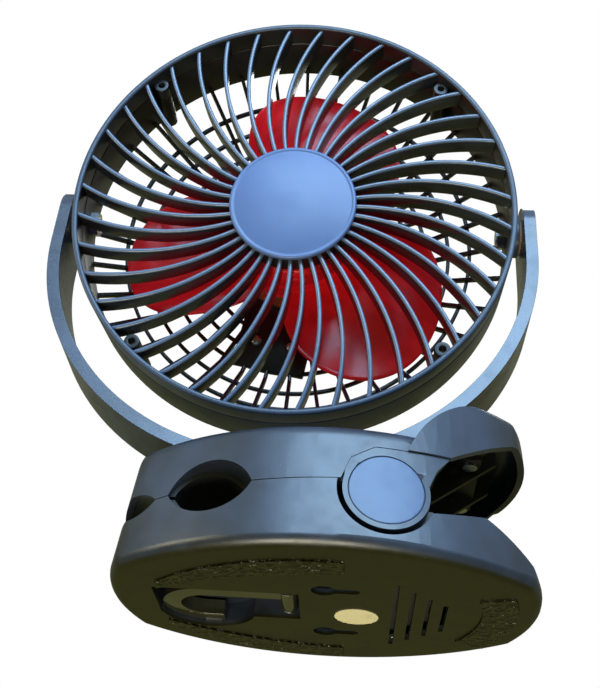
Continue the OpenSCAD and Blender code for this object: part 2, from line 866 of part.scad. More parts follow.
module upper_jaw_frame() {
    color(dark) difference() {
        union() {
            intersection() {
                along_y() frame_profile();
                body_block(shell_wall + seat_fit, foot_stand, jaw_top, bottom_round, top_round);
            }
            // crossbar that ties the plate to both ears
            intersection() {
                translate([pivot_x - 19, -far / 2, split(pivot_x - 12) + jaw_gap / 2 - 0.2])
                    cube([11, far, 6]);
                body_block(shell_wall + seat_fit, foot_stand, jaw_top, bottom_round, top_round);
                along_y() under_cover(-jaw_gap / 2);
            }
            intersection() {
                along_y() ear_profile();
                body_block(0, foot_stand, jaw_top, bottom_round, top_round);
                for (side = [-1, 1]) translate([0, side * (ear_inner + far / 2), 0]) cube(far, center = true);
            }
        }
        along_y() at_pivot() circle(pin_r + run_fit);
        difference() {
            along_y() at_pivot() circle(pivot_cap_r + seat_fit);
            body_block(pivot_cap_t + 0.2, foot_stand, jaw_top, bottom_round - 1, top_round);
        }
        for (side = [-1, 1]) translate([frame_screw_x, side * frame_screw_y, split(frame_screw_x) - 1]) {
            cylinder(h = 8, r = 1.6);
            cylinder(h = 2.6, r = 2.9);
        }
    }
}

module upper_jaw_liner() {
    color(rubber) along_y(liner_length) difference() {
        high_groove(-run_fit);
        high_groove(-liner_t);
        below_split(-0.6, pivot_x);
    }
}

module pivot_caps() {
    color(black) intersection() {
        along_y() at_pivot() circle(pivot_cap_r);
        difference() {
            body_block(0, foot_stand, jaw_top, bottom_round, top_round);
            body_block(pivot_cap_t, foot_stand - 1, jaw_top + 1, bottom_round - 1, top_round);
        }
    }
}

top_leg_angle = 50;
top_leg_y = spring_start + (spring_turns - 1) * spring_pitch + spring_wire + 0.3;

module spring_top_leg() {
    color(steel) translate([pivot_x, top_leg_y, pivot_z]) {
        rotate([90, 0, 0]) rotate_extrude() translate([spring_r, 0]) circle(d = spring_wire);
        rotate([0, -top_leg_angle, 0]) translate([0, 0, spring_r]) rotate([0, 90, 0])
            cylinder(h = top_leg_length, d = spring_wire);
    }
}
top_leg_length = 22.2;

// Stiffening brace under the handle: two sloping ribs and a cross plate
module handle_brace() {
    color(dark) difference() {
        union() {
            intersection() {
                for (side = [-1, 1]) translate([0, side * brace_rib_y, 0]) along_y(2.2)
                    polygon([
                        [pivot_x + 11, pivot_z + 14.5], [pivot_x + 16, pivot_z + 14.5],
                        [pivot_x + 40, pivot_z + 31], [pivot_x + 40, pivot_z + 37.5],
                        [pivot_x + 13, pivot_z + 17.5]
                    ]);
                cover_solid(shell_wall + 0.3);
            }
            translate([brace_screw_x - 4, -brace_screw_y - 3.4, brace_plate_z])
                cube([8, 2 * brace_screw_y + 6.8, brace_plate_t]);
        }
        for (side = [-1, 1]) translate([brace_screw_x, side * brace_screw_y, brace_plate_z - 1])
            cylinder(h = 5, r = 1.6);
    }
}

module handle_screws() {
    color(steel) for (side = [-1, 1])
        translate([brace_screw_x, side * brace_screw_y, brace_plate_z - 1.6]) {
            cylinder(h = 1.6, r = 2.7);
            cylinder(h = 6.4, r = 1.4);
        }
}

module frame_screws() {
    color(steel) for (side = [-1, 1])
        translate([frame_screw_x, side * frame_screw_y, split(frame_screw_x) + 0.5]) {
            cylinder(h = 1, r = 2.7);
            cylinder(h = 8.4, r = 1.4);
        }
}

// ---------- yoke ----------

swivel_z = jaw_top + swivel_seat + swivel_gap;
yoke_r = head_r + yoke_gap + yoke_t;
bow_z = swivel_z + 1.2 + yoke_r;
tilt_z = bow_z + yoke_leg;
bolt_head_z = bow_z - yoke_r + yoke_t - 0.4;
arm_inner = yoke_r - yoke_t;
tilt_head_r = 6;
tilt_head_t = 1.8;
tilt_cap_t = 0.8;

module at_tilt(side) {
    translate([0, 0, tilt_z]) rotate([0, side * 90, 0]) children();
}

module yoke() {
    color(black) difference() {
        union() {
            translate([0, 0, bow_z]) rotate([90, 0, 0]) rotate([0, 0, 180])
                translate([0, 0, -yoke_w / 2]) rotate_extrude(angle = 180)
                    translate([arm_inner, 0]) square([yoke_t, yoke_w]);
            for (side = [-1, 1]) {
                translate([side * (yoke_r - yoke_t / 2), 0, bow_z + yoke_leg / 2])
                    cube([yoke_t, yoke_w, yoke_leg], center = true);
                at_tilt(side) translate([0, 0, arm_inner]) cylinder(h = yoke_t, d = yoke_w);
            }
            translate([0, 0, swivel_z]) cylinder(h = bolt_head_z - swivel_z - 0.6, r = swivel_r);
        }
        translate([0, 0, swivel_z - 1]) cylinder(h = 12, d = swivel_bolt_d + 2 * run_fit);
        translate([0, 0, bolt_head_z]) cylinder(h = 12, r = swivel_bolt_d / 2 + 3.5);
        for (side = [-1, 1]) at_tilt(side) {
            translate([0, 0, arm_inner - 1]) cylinder(h = yoke_t + 2, d = tilt_bolt_d + 2 * run_fit);
            translate([0, 0, yoke_r - tilt_cap_t - 0.1 - tilt_head_t - 0.1])
                cylinder(h = yoke_t, r = tilt_head_r + seat_fit);
        }
    }
}

module swivel_bolt() {
    color(steel) {
        translate([0, 0, jaw_top - shell_wall - 5])
            cylinder(h = bolt_head_z - jaw_top + shell_wall + 5.5, d = swivel_bolt_d);
        translate([0, 0, bolt_head_z]) cylinder(h = 2.6, r = swivel_bolt_d / 2 + 3);
    }
}

module swivel_washer() {
    color(steel) translate([0, 0, jaw_top - shell_wall - 1.5]) difference() {
        cylinder(h = 1.3, r = swivel_bolt_d / 2 + 4.5);
        translate([0, 0, -1]) cylinder(h = 4, d = swivel_bolt_d + 2 * run_fit);
    }
}

module swivel_nut() {
    color(steel) translate([0, 0, jaw_top - shell_wall - 5]) difference() {
        cylinder(h = 3.5, r = swivel_bolt_d / 2 + 3.5, $fn = 6);
        translate([0, 0, -1]) cylinder(h = 6, d = swivel_bolt_d + 2 * run_fit);
    }
}

module tilt_bolts() {
    color(steel) for (side = [-1, 1]) at_tilt(side) {
        translate([0, 0, head_r - head_wall - 4]) cylinder(
            h = yoke_r - tilt_cap_t - 0.1 - head_r + head_wall + 4, d = tilt_bolt_d);
        translate([0, 0, yoke_r - tilt_cap_t - 0.1 - tilt_head_t]) cylinder(h = tilt_head_t, r = tilt_head_r);
    }
}

module tilt_caps() {
    color(black) for (side = [-1, 1]) at_tilt(side)
        translate([0, 0, yoke_r - tilt_cap_t]) cylinder(h = tilt_cap_t, r = tilt_head_r);
}

tilt_boss_end = arm_inner - 0.9;

module tilt_washers() {
    color([0.6, 0.5, 0.35]) for (side = [-1, 1]) at_tilt(side)
        translate([0, 0, tilt_boss_end + 0.1]) difference() {
            cylinder(h = 0.7, r = 7.5);
            translate([0, 0, -1]) cylinder(h = 3, d = tilt_bolt_d + 2 * run_fit);
        }
}

module tilt_nuts() {
    color(steel) for (side = [-1, 1]) at_tilt(side)
        translate([0, 0, head_r - head_wall - 3.6]) difference() {
            cylinder(h = 3.4, r = tilt_bolt_d / 2 + 2.6, $fn = 6);
            translate([0, 0, -1]) cylinder(h = 6, d = tilt_bolt_d + 2 * run_fit);
        }
}

// ---------- fan head, drawn with its axis up and its front on top ----------

module in_head() {
    translate([0, 0, tilt_z]) rotate([90 + head_tilt, 0, 0]) children();
}

inner_r = head_r - head_wall;
rib_back = rim_front - 1.5 - rib_depth;
rib_overlap = 0.6;
hub_ring_r = disc_r - 1;
hub_ring_t = 3.2;
house_screw_r = inner_r - 2.6;

function rib_angle(r) = acos((pow(rib_arc_centre, 2) + pow(rib_arc, 2) - r * r)
    / (2 * rib_arc_centre * rib_arc));

module swirl_rib() {
    start = rib_angle(hub_ring_r - rib_overlap);
    stop = rib_angle(inner_r + rib_overlap);
    translate([rib_arc_centre, 0, rib_back]) rotate([0, 0, 180 - stop])
        rotate_extrude(angle = stop - start)
            translate([rib_arc - rib_t / 2, 0]) square([rib_t, rib_depth]);
}

module ring(outer, inner, bottom, top) {
    translate([0, 0, bottom]) difference() {
        cylinder(h = top - bottom, r = outer);
        translate([0, 0, -1]) cylinder(h = top - bottom + 2, r = inner);
    }
}

// Angle about the fan axis at which the first rib passes the radius r
function rib_polar(r) = atan2(rib_arc * sin(rib_angle(r)), rib_arc_centre - rib_arc * cos(rib_angle(r)));

// The screw posts stand midway between two ribs
house_screw_angle = rib_polar(house_screw_r) - 1.5 * 360 / rib_count;

module at_house_screws() {
    for (i = [0:3]) rotate([0, 0, house_screw_angle + 90 * i]) translate([house_screw_r, 0, 0])
        children();
}

module front_grille() {
    color(black) in_head() {
        ring(head_r, inner_r, seam + seam_gap, rim_front);
        ring(hub_ring_r, hub_ring_r - hub_ring_t, rib_back - 0.5, rim_front - 0.8);
        for (i = [0:rib_count - 1]) rotate([0, 0, i * 360 / rib_count]) swirl_rib();
        difference() {
            at_house_screws() translate([0, 0, seam + seam_gap]) cylinder(h = 6, r = 3.2);
            at_house_screws() translate([0, 0, seam]) cylinder(h = 5.5, r = 1.3);
            difference() {
                cylinder(h = far, r = far);
                translate([0, 0, -1]) cylinder(h = 2 * far, r = head_r - 0.5);
            }
        }
    }
}
seam_gap = 0.2;

module centre_disc() {
    color(black) in_head() {
        translate([0, 0, rim_front - 0.6]) cylinder(h = 2.2, r = disc_r);
        ring(hub_ring_r - hub_ring_t - run_fit, hub_ring_r - hub_ring_t - 1.8,
            rim_front - 5, rim_front - 0.5);
    }
}

// Outline of a rear rib in the radius-height plane, slimmer by inset on both faces
module rear_rib_profile(inner, outer, inset = 0) {
    intersection() {
        polygon([
            [0, -back + inset], [back_r, -back + inset],
            [head_r, -taper_back + inset], [head_r, -taper_back + 4 - inset],
            [back_r - 1, -back + 3 - inset], [0, -back + 3 - inset]
        ]);
        translate([inner, -far / 2]) square([outer - inner, far]);
    }
}

arm_angle = 260;
arm_w = 32;
arm_t = 2.5;
plate_r = 30;
plate_t = 3.4;
plate_front = -back + plate_t;
arm_front = plate_front - 0.3;
motor_screw_angles = [62, 152, 242, 332];
motor_screw_r = plate_r - 5;

module rear_housing() {
    color(black) in_head() difference() {
        union() {
            ring(head_r, inner_r, -taper_back, seam);
            // radial ribs and rings of the rear grille
            for (i = [0:rear_rib_count - 1]) rotate([90, 0, i * 360 / rear_rib_count])
                linear_extrude(height = rear_rib_t, center = true)
                    rear_rib_profile(plate_r - 1, head_r - 0.3, 0.2);
            for (r = [40, 49, 57, 67, 76]) rotate_extrude() rear_rib_profile(r, r + rear_rib_t, 0.45);
            // motor plate and the broad arm below it
            translate([0, 0, -back]) cylinder(h = plate_t, r = plate_r);
            rotate([0, 0, arm_angle]) translate([plate_r - 8, -arm_w / 2, arm_front - arm_t])
                cube([back_r - plate_r + 4, arm_w, arm_t]);
            // tilt bosses and screw posts
            for (side = [-1, 1]) rotate([0, side * 90, 0]) translate([0, 0, inner_r + 0.5])
                cylinder(h = tilt_boss_end - inner_r - 0.5, r = 8.5);
            intersection() {
                at_house_screws() translate([0, 0, -taper_back + 1])
                    cylinder(h = seam + taper_back - 1, r = 3.2);
                cylinder(h = far, r = head_r - 0.5, center = true);
            }
        }
        for (side = [-1, 1]) rotate([0, side * 90, 0]) translate([0, 0, inner_r - 6])
            cylinder(h = tilt_boss_end - inner_r + 7, d = tilt_bolt_d + 2 * run_fit);
        at_house_screws() translate([0, 0, -back]) cylinder(h = back + seam + 1, r = 1.5);
        at_house_screws() translate([0, 0, -back]) cylinder(h = back - taper_back + 2.8, r = 2.8);
        for (angle = motor_screw_angles) rotate([0, 0, angle]) translate([motor_screw_r, 0, -back - 1])
            cylinder(h = 9, r = 1.45);
        for (side = [-1, 1]) arm_screw_place(side) translate([0, 0, -back - 1]) cylinder(h = 9, r = 1.45);
        translate([0, 0, -back - 1]) cylinder(h = 9, d = shaft_d + 2);
    }
}

module arm_screw_place(side) {
    rotate([0, 0, arm_angle + side * 360 / rear_rib_count]) translate([46, 0, 0]) children();
}

// A pan-head screw with a crossed recess, head up
module cross_screw(head_radius, head_height, shaft_radius, length) {
    difference() {
        cylinder(h = head_height, r = head_radius);
        for (turn = [0, 90]) rotate([0, 0, turn]) translate([0, 0, head_height])
            cube([head_radius * 1.2, 0.7, 1.4], center = true);
    }
    translate([0, 0, -length]) cylinder(h = length + 0.2, r = shaft_radius);
}

module arm_screws() {
    color(steel) in_head() for (side = [-1, 1]) arm_screw_place(side)
        translate([0, 0, arm_front]) cross_screw(2.6, 1.8, 1.4, arm_t);
}

module motor_screws() {
    color(steel) in_head() for (angle = motor_screw_angles) rotate([0, 0, angle])
        translate([motor_screw_r, 0, plate_front + flange_t]) cross_screw(2.4, motor_screw_head, 1.4, 4.4);
}
flange_t = 1.6;
motor_screw_head = 1.6;

module housing_screws() {
    color(steel) in_head() at_house_screws() translate([0, 0, -taper_back + 2.6]) rotate([180, 0, 0])
        cross_screw(2.6, 1.8, 1.25, seam + taper_back + 2.2);
}

module back_cap() {
    color(dark) in_head() translate([0, 0, -back - 1.2]) cylinder(h = 1.2, r = plate_r - 3);
}

module motor_stator() {
    color([0.55, 0.35, 0.2]) in_head() difference() {
        union() {
            translate([0, 0, plate_front]) cylinder(h = flange_t, r = plate_r - 2);
            translate([0, 0, plate_front]) cylinder(h = 13, r = 7);
            translate([0, 0, plate_front + 4]) cylinder(h = 8, r = 14.6);
        }
        translate([0, 0, plate_front - 1]) cylinder(h = 16, r = bearing_r + run_fit);
        for (angle = motor_screw_angles) rotate([0, 0, angle]) translate([motor_screw_r, 0, plate_front - 1])
            cylinder(h = 9, r = 1.45);
    }
}
bearing_r = 5;
shaft_back = plate_front + 0.4;

module motor_bearings() {
    color(steel) in_head() for (z = [plate_front + 0.4, plate_front + 9.4])
        ring(bearing_r, shaft_d / 2 + run_fit, z, z + 3.2);
}

module driver_board() {
    color([0.05, 0.35, 0.15]) in_head()
        ring(14, 7 + run_fit, plate_front + flange_t + 0.5, plate_front + flange_t + 1.9);
}

cup_back = plate_front + flange_t + 0.6;
cup_front = plate_front + 15;
cup_t = 1.2;
magnet_t = 2;
hub_front = 8;
hub_back = plate_front + flange_t + motor_screw_head + 0.5;

module fan_rotor() {
    color(red) in_head() rotate([0, 0, blade_turn]) {
        difference() {
            union() {
                translate([0, 0, hub_back]) cylinder(h = hub_front - hub_back, r = hub_r);
                translate([0, 0, hub_front - 9]) cylinder(h = 2, r = hub_r + 1.5);
            }
            translate([0, 0, cup_back - 1])
                cylinder(h = cup_front - cup_back + 1 + run_fit, r = cup_r + run_fit);
            ring(cup_r - 1.5, 6, cup_front - 1, hub_front - 2.4);
            translate([0, 0, -far / 2]) cylinder(h = far, d = shaft_d + 2 * run_fit);
        }
        for (i = [0:blade_count - 1]) rotate([0, 0, i * 360 / blade_count]) blade();
    }
}

blade_mid_z = 0;
blade_half = blade_round + 1.3;
camber_reach = sqrt(blade_camber * blade_camber - blade_half * blade_half);

// A cambered sheet cut to a round-tipped outline
module blade() {
    intersection() {
        translate([blade_tip_r - blade_round, 0, -far / 4]) cylinder(h = far / 2, r = blade_round);
        difference() {
            blade_sheet(blade_camber + blade_t);
            blade_sheet(blade_camber);
        }
        translate([0, -far / 4, -far / 8]) cube([far, far / 2, far / 8 + 14]);
        ring(far, hub_r - 0.6, -far / 4, far / 4);
    }
}

module blade_sheet(r) {
    translate([0, -camber_reach * sin(blade_pitch), blade_mid_z + camber_reach * cos(blade_pitch)])
        rotate([0, 90, 0]) cylinder(h = far / 2, r = r);
}

module rotor_cup() {
    color(steel) in_head() difference() {
        translate([0, 0, cup_back]) cylinder(h = cup_front - cup_back, r = cup_r);
        translate([0, 0, cup_back - 1]) cylinder(h = cup_front - cup_back + 1 - cup_t, r = cup_r - cup_t);
        translate([0, 0, cup_back]) cylinder(h = far, d = shaft_d + 2 * run_fit);
    }
}

module magnet_ring() {
    color([0.3, 0.3, 0.32]) in_head()
        ring(cup_r - cup_t - run_fit, cup_r - cup_t - magnet_t, cup_back + 0.3, cup_front - cup_t - 0.4);
}

module motor_shaft() {
    color(steel) in_head() translate([0, 0, shaft_back])
        cylinder(h = hub_front + 3.4 - shaft_back, d = shaft_d);
}

module hub_nut() {
    color(red) in_head() difference() {
        translate([0, 0, hub_front]) cylinder(h = 4, r = 6);
        translate([0, 0, hub_front - 1]) cylinder(h = 4.5, d = shaft_d + 2 * run_fit);
    }
}

base_shell();
base_deck();
lower_jaw_liner();
pivot_pin();
clip_spring();
battery_tray();
battery_cells();
control_board();
button_switch();
charge_port();
charge_lights();
power_button();
front_foot_pad();
rear_foot_pad();
end_foot_pad();
round_label();
base_screws();
hanging_hook();
hook_pin();
upper_jaw_cover();
upper_jaw_frame();
upper_jaw_liner();
pivot_caps();
spring_top_leg();
handle_brace();
handle_screws();
frame_screws();
yoke();
swivel_bolt();
swivel_washer();
swivel_nut();
tilt_bolts();
tilt_washers();
tilt_nuts();
tilt_caps();
front_grille();
centre_disc();
rear_housing();
back_cap();
housing_screws();
arm_screws();
motor_screws();
motor_stator();
motor_bearings();
driver_board();
fan_rotor();
rotor_cup();
magnet_ring();
motor_shaft();
hub_nut();
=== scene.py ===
import json
import math

import bmesh
import bpy
from mathutils import Matrix, Vector


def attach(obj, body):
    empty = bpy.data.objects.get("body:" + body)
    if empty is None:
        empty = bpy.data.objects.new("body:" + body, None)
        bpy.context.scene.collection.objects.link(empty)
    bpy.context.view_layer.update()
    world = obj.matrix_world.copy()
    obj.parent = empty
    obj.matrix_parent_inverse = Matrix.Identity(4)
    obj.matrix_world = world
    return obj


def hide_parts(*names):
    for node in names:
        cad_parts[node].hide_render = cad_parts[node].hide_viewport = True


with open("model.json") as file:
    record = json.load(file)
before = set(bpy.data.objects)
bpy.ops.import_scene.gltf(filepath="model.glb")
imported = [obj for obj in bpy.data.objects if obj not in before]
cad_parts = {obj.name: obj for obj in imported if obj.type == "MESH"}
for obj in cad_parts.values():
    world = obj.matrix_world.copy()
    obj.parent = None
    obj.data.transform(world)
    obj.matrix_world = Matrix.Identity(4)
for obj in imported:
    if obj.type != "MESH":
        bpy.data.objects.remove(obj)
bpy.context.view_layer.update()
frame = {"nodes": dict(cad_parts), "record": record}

MM = 0.001

# ---------- sizes of the fan, in millimetres, shared by the pieces below ----------

TILT_Z = 168.5          # height of the tilt axis
HEAD_LEAN = 10.5        # forward lean of the head, in degrees
HEAD_R = 92.5           # outer radius of the grille rims
RIM_WALL = 2.4          # wall of the rims
RIM_FRONT = 24.0        # front lip ahead of the tilt axis
RIM_SEAM = 13.0         # seam between the two halves of the head
SEAM_GAP = 0.2
TAPER_BACK = 9.0        # where the rear rim ends
BACK = 25.0             # flat back of the rear grille
BACK_R = 62.0           # radius at which the flat back starts to rise to the rim
RIB_COUNT = 40          # swirl ribs of the front grille
RIB_T = 1.8             # thickness of a swirl rib
RIB_FRONT = 22.5        # front edge of the swirl ribs
RIB_BACK = 13.5         # rear edge of the swirl ribs
RIB_ARC = 90.0          # radius of the arc that a swirl rib follows
RIB_ARC_CENTRE = 94.0   # how far the centre of that arc lies from the fan axis
HUB_RING_R = 25.4       # ring at the inner end of the swirl ribs
HUB_RING_T = 3.2
DISC_R = 26.4           # disc at the middle of the front grille
DISC_BACK = 23.4
DISC_FRONT = 25.6
DISC_SPIGOT_BACK = 19.0 # rear end of the ring that plugs the disc into the grille
POST_R = 3.2            # screw posts of the rims
REAR_RIB_COUNT = 36     # straight ribs of the rear grille
REAR_RIB_T = 1.6
REAR_RING_R = (40, 49, 57, 67, 76)
PLATE_R = 30.0          # motor plate
PLATE_T = 3.4
SHAFT_HOLE_R = 3.0
ARM_BEARING = 260.0     # the broad arm below the motor plate
ARM_W = 32.0
ARM_T = 2.5
ARM_SCREW_R = 46.0
ARM_SCREW_STEP = 20.0   # degrees between the arm's two screws
SCREW_HEAD_R = 2.6
SCREW_HEAD_H = 1.8
RIM_SCREW_SEAT = 2.6    # how far ahead of the rear rim's end the rim screws seat
RIM_SCREW_L = 22.0
BOSS_R = 8.5            # tilt bosses
BOSS_END = 95.6
TILT_BORE_R = 3.05
BLADE_COUNT = 3
BLADE_TIP_R = 76.0
BLADE_ROUND = 34.0      # radius of a blade's round outline
BLADE_PITCH = 15.6
BLADE_CAMBER = 70.0
BLADE_T = 1.6
BLADE_TURN = 75.0
HUB_R = 24.5
HUB_FRONT = 8.0
HUB_BACK = -17.9
CUP_R = 19.05           # room for the rotor cup inside the hub

INNER_R = HEAD_R - RIM_WALL
POST_PLACE_R = INNER_R - 2.6
PLATE_FRONT = PLATE_T - BACK
ARM_FRONT = PLATE_FRONT - 0.3

HEAD = (Matrix.Translation((0, 0, TILT_Z * MM))
        @ Matrix.Rotation(math.radians(90 + HEAD_LEAN), 4, "X")
        @ Matrix.Scale(MM, 4))


def rib_turn(radius):
    """Angle along a swirl rib's arc at which it passes a radius from the fan axis."""
    return math.acos((RIB_ARC_CENTRE ** 2 + RIB_ARC ** 2 - radius ** 2) / (2 * RIB_ARC_CENTRE * RIB_ARC))


def rib_bearing(radius):
    """Angle about the fan axis, in degrees, at which the first swirl rib passes a radius."""
    turn = rib_turn(radius)
    return math.degrees(math.atan2(RIB_ARC * math.sin(turn), RIB_ARC_CENTRE - RIB_ARC * math.cos(turn)))


# The screw posts stand midway between two swirl ribs
POST_BEARING = rib_bearing(POST_PLACE_R) - 1.5 * 360 / RIB_COUNT


# ---------- node building, for finishes and for patterns ----------

class Field:
    """An output socket that takes part in plain arithmetic."""

    def __init__(self, maker, socket):
        self.maker, self.socket = maker, socket

    def _maths(self, operation, first, second=0.0):
        node = self.maker.node("ShaderNodeMath", {"operation": operation}, {0: first, 1: second})
        return self.maker.out(node, 0)

    def __add__(self, other):
        return self._maths("ADD", self, other)

    def __radd__(self, other):
        return self._maths("ADD", other, self)

    def __sub__(self, other):
        return self._maths("SUBTRACT", self, other)

    def __rsub__(self, other):
        return self._maths("SUBTRACT", other, self)

    def __mul__(self, other):
        return self._maths("MULTIPLY", self, other)

    def __rtruediv__(self, other):
        return self._maths("DIVIDE", other, self)

    def __lt__(self, other):
        return self._maths("LESS_THAN", self, other)

    def larger(self, other):
        return self._maths("MAXIMUM", self, other)


class Maker:
    """A node tree in the making."""

    def node(self, kind, settings=None, sockets=None):
        """One node of any kind: its settings first, then the values or links of its sockets."""
        node = self.tree.nodes.new(kind)
        for key, value in (settings or {}).items():
            setattr(node, key, value)
        for key, value in (sockets or {}).items():
            self.plug(node.inputs[key], value)
        return node

    def plug(self, socket, value):
        if isinstance(value, tuple) and value and isinstance(value[0], Field):
            for one in value:
                self.tree.links.new(one.socket, socket)
        elif isinstance(value, Field):
            self.tree.links.new(value.socket, socket)
        elif socket.type == "RGBA" and len(value) == 3:
            socket.default_value = (*value, 1.0)
        else:
            socket.default_value = value

    def out(self, node, name=0):
        return Field(self, node.outputs[name])


# ---------- finishes ----------

class Finish(Maker):
    """A surface finish: its material and the nodes in it."""

    def __init__(self, name, **principled):
        self.material = bpy.data.materials.new(name)
        self.material.use_nodes = True
        self.tree = self.material.node_tree
        self.tree.nodes.clear()
        sockets = {key.replace("_", " "): value for key, value in principled.items()}
        self.surface = self.node("ShaderNodeBsdfPrincipled", {}, sockets)
        self.end = self.node("ShaderNodeOutputMaterial")
        self.tree.links.new(self.surface.outputs["BSDF"], self.end.inputs["Surface"])
        self.place = self.out(self.node("ShaderNodeTexCoord"), "Object")

    def noise(self, scale, detail=2.0, rough=0.5, place=None):
        return self.out(self.node("ShaderNodeTexNoise", {}, {
            "Vector": place or self.place, "Scale": scale, "Detail": detail, "Roughness": rough}), "Fac")

    def cells(self, scale, feature="F1", output="Distance", place=None):
        return self.out(self.node("ShaderNodeTexVoronoi", {"feature": feature}, {
            "Vector": place or self.place, "Scale": scale}), output)

    def along(self, axis, place=None):
        """One of the three coordinates of the piece, in metres."""
        return self.out(self.node("ShaderNodeSeparateXYZ", {}, {"Vector": place or self.place}), axis)

    def window(self, value, low, high, to_low=0.0, to_high=1.0):
        """The value carried smoothly from one span to another."""
        return self.out(self.node("ShaderNodeMapRange", {"interpolation_type": "SMOOTHSTEP"}, {
            "Value": value, "From Min": low, "From Max": high,
            "To Min": to_low, "To Max": to_high}), "Result")

    def mix(self, factor, first, second):
        """Two colours, or a colour and a link, mixed by a factor."""
        return self.out(self.node("ShaderNodeMix", {"data_type": "RGBA"}, {
            0: factor, 6: first, 7: second}), 2)

    def stretched(self, sizes, turn=(0, 0, 0)):
        """The object's own coordinates, squeezed along one axis or another."""
        return self.out(self.node("ShaderNodeMapping", {}, {
            "Vector": self.place, "Scale": sizes, "Rotation": turn}), "Vector")

    def on_head(self):
        """How far a place lies ahead of the tilt axis, and its distance from the fan axis, in metres."""
        lean = math.radians(HEAD_LEAN)
        level, upright = self.along("Y"), self.along("Z") - TILT_Z * MM
        ahead = level * -math.cos(lean) - upright * math.sin(lean)
        across = upright * math.cos(lean) - level * math.sin(lean)
        flat = self.out(self.node("ShaderNodeCombineXYZ", {}, {"X": self.along("X"), "Y": across}))
        length = self.node("ShaderNodeVectorMath", {"operation": "LENGTH"}, {0: flat})
        return ahead, self.out(length, "Value")

    def bump(self, height, depth, strength=1.0):
        return self.out(self.node("ShaderNodeBump", {}, {
            "Height": height, "Distance": depth, "Strength": strength}), "Normal")

    def wear(self, **sockets):
        """The sockets of the surface that change over it."""
        for name, value in sockets.items():
            self.plug(self.surface.inputs[name.replace("_", " ")], value)
        return self.material


def linear(level):
    """The light that a display value between 0 and 255 stands for."""
    if level <= 10:
        return level / 255 / 12.92
    return ((level / 255 + 0.055) / 1.055) ** 2.4


def shade(red, green, blue):
    """A colour from its display values, 0 to 255."""
    return linear(red), linear(green), linear(blue)


def tint(colour, factor):
    return tuple(min(1.0, c * factor) for c in colour)


def moulded(name, colour, rough, grain=0.00003, grain_scale=2600, spread=0.22, dust=0.0, smudge=0.10,
            second=None, below=None, lip=None, **principled):
    """Moulded plastic: fine sparked grain, clouds of tone, rubbed patches and stray dust.

    second is the tone of the clouds, and below the height in metres under which another tone takes over: a
    painted olive reflection and shade on the underside. lip paints a highlight and reflection onto the
    head's front edges and outer wall: from where to where ahead of the tilt axis, in millimetres, the
    radius of the outer wall, and the tone of the painted highlight."""
    made = Finish(name, **principled)
    clouds = made.window(made.noise(26, 3.0, 0.6), 0.36, 0.66)
    rubbed = made.window(made.noise(95, 4.0, 0.65), 0.42, 0.72)
    grit = made.noise(grain_scale, 2.0, 0.6)
    tone = made.mix(clouds, tint(colour, 1 - spread), tint(second or colour, 1 + spread))
    if below:
        # painted olive reflection and shade: the underside takes another, olive-dark tone below the given
        # height
        height, painted_underside_tone = below
        tone = made.mix(made.window(made.along("Z"), height * 0.55, height), painted_underside_tone, tone)
    # painted highlight and reflection: the head's front edges and outer wall are lighter than the rest
    if lip:
        start, end, radius, painted_highlight_tone = lip
        ahead, around = made.on_head()
        front = made.window(ahead, start * MM, end * MM)
        painted_outer_wall_highlight = made.window(around, (radius - 0.6) * MM, (radius + 0.2) * MM)
        tone = made.mix(front.larger(painted_outer_wall_highlight), tone, painted_highlight_tone)
    if dust:
        flecks = made.cells(300) < made.noise(60, 1.0) * dust
        streak = made.noise(1.0, 5.0, 0.7, made.stretched((900, 260, 420), (0.3, 0.5, 0.2)))
        flecks = flecks.larger(made.window(streak, 0.76, 0.82) * 0.25)
        tone = made.mix(flecks, tone, shade(150, 150, 142))
    height = grit * 0.6 + made.noise(grain_scale * 0.3, 2.0) * 0.4
    return made.wear(
        Base_Color=tone,
        Roughness=rough + (rubbed - 0.4) * smudge + (grit - 0.5) * 0.08,
        Normal=made.bump(height, grain))


def crinkled_rubber(name, colour):
    """Anti-slip rubber: glossy, puckered into small irregular folds, with painted shade in the fold hollows
    and a painted highlight on the crests.
    """
    made = Finish(name)
    wander = made.noise(240, 3.0, 0.6)
    folds = made.cells(430, "SMOOTH_F1")
    bands = made.node("ShaderNodeTexWave", {"wave_type": "BANDS", "bands_direction": "DIAGONAL"}, {
        "Vector": made.place, "Scale": 110.0, "Distortion": 11.0, "Detail": 3.0, "Detail Scale": 1.6})
    ridges = made.out(bands, "Fac")
    height = folds * 0.8 + ridges * 0.6 + wander * 0.4
    # painted shade and highlight: the colour darkens in the fold hollows and lightens on the crests
    return made.wear(
        Base_Color=made.mix(made.window(height, 0.5, 1.2), tint(colour, 0.4), tint(colour, 1.6)),
        Roughness=0.12 + wander * 0.16,
        Normal=made.bump(height, 0.0009))


def metal(name, colour, rough, scratch_sizes=(60, 2400, 2400), patina=0.25):
    """Plated or oiled steel: fine drawn scratches and a dull patina."""
    made = Finish(name, Metallic=1.0)
    scratches = made.noise(1.0, 3.0, 0.7, made.stretched(scratch_sizes))
    dull = made.window(made.noise(180, 3.0, 0.6), 0.45, 0.75)
    return made.wear(
        Base_Color=made.mix(dull, tint(colour, 1.1), tint(colour, 1 - patina)),
        Roughness=rough + scratches * 0.16 + dull * 0.14,
        Normal=made.bump(scratches, 0.00002))


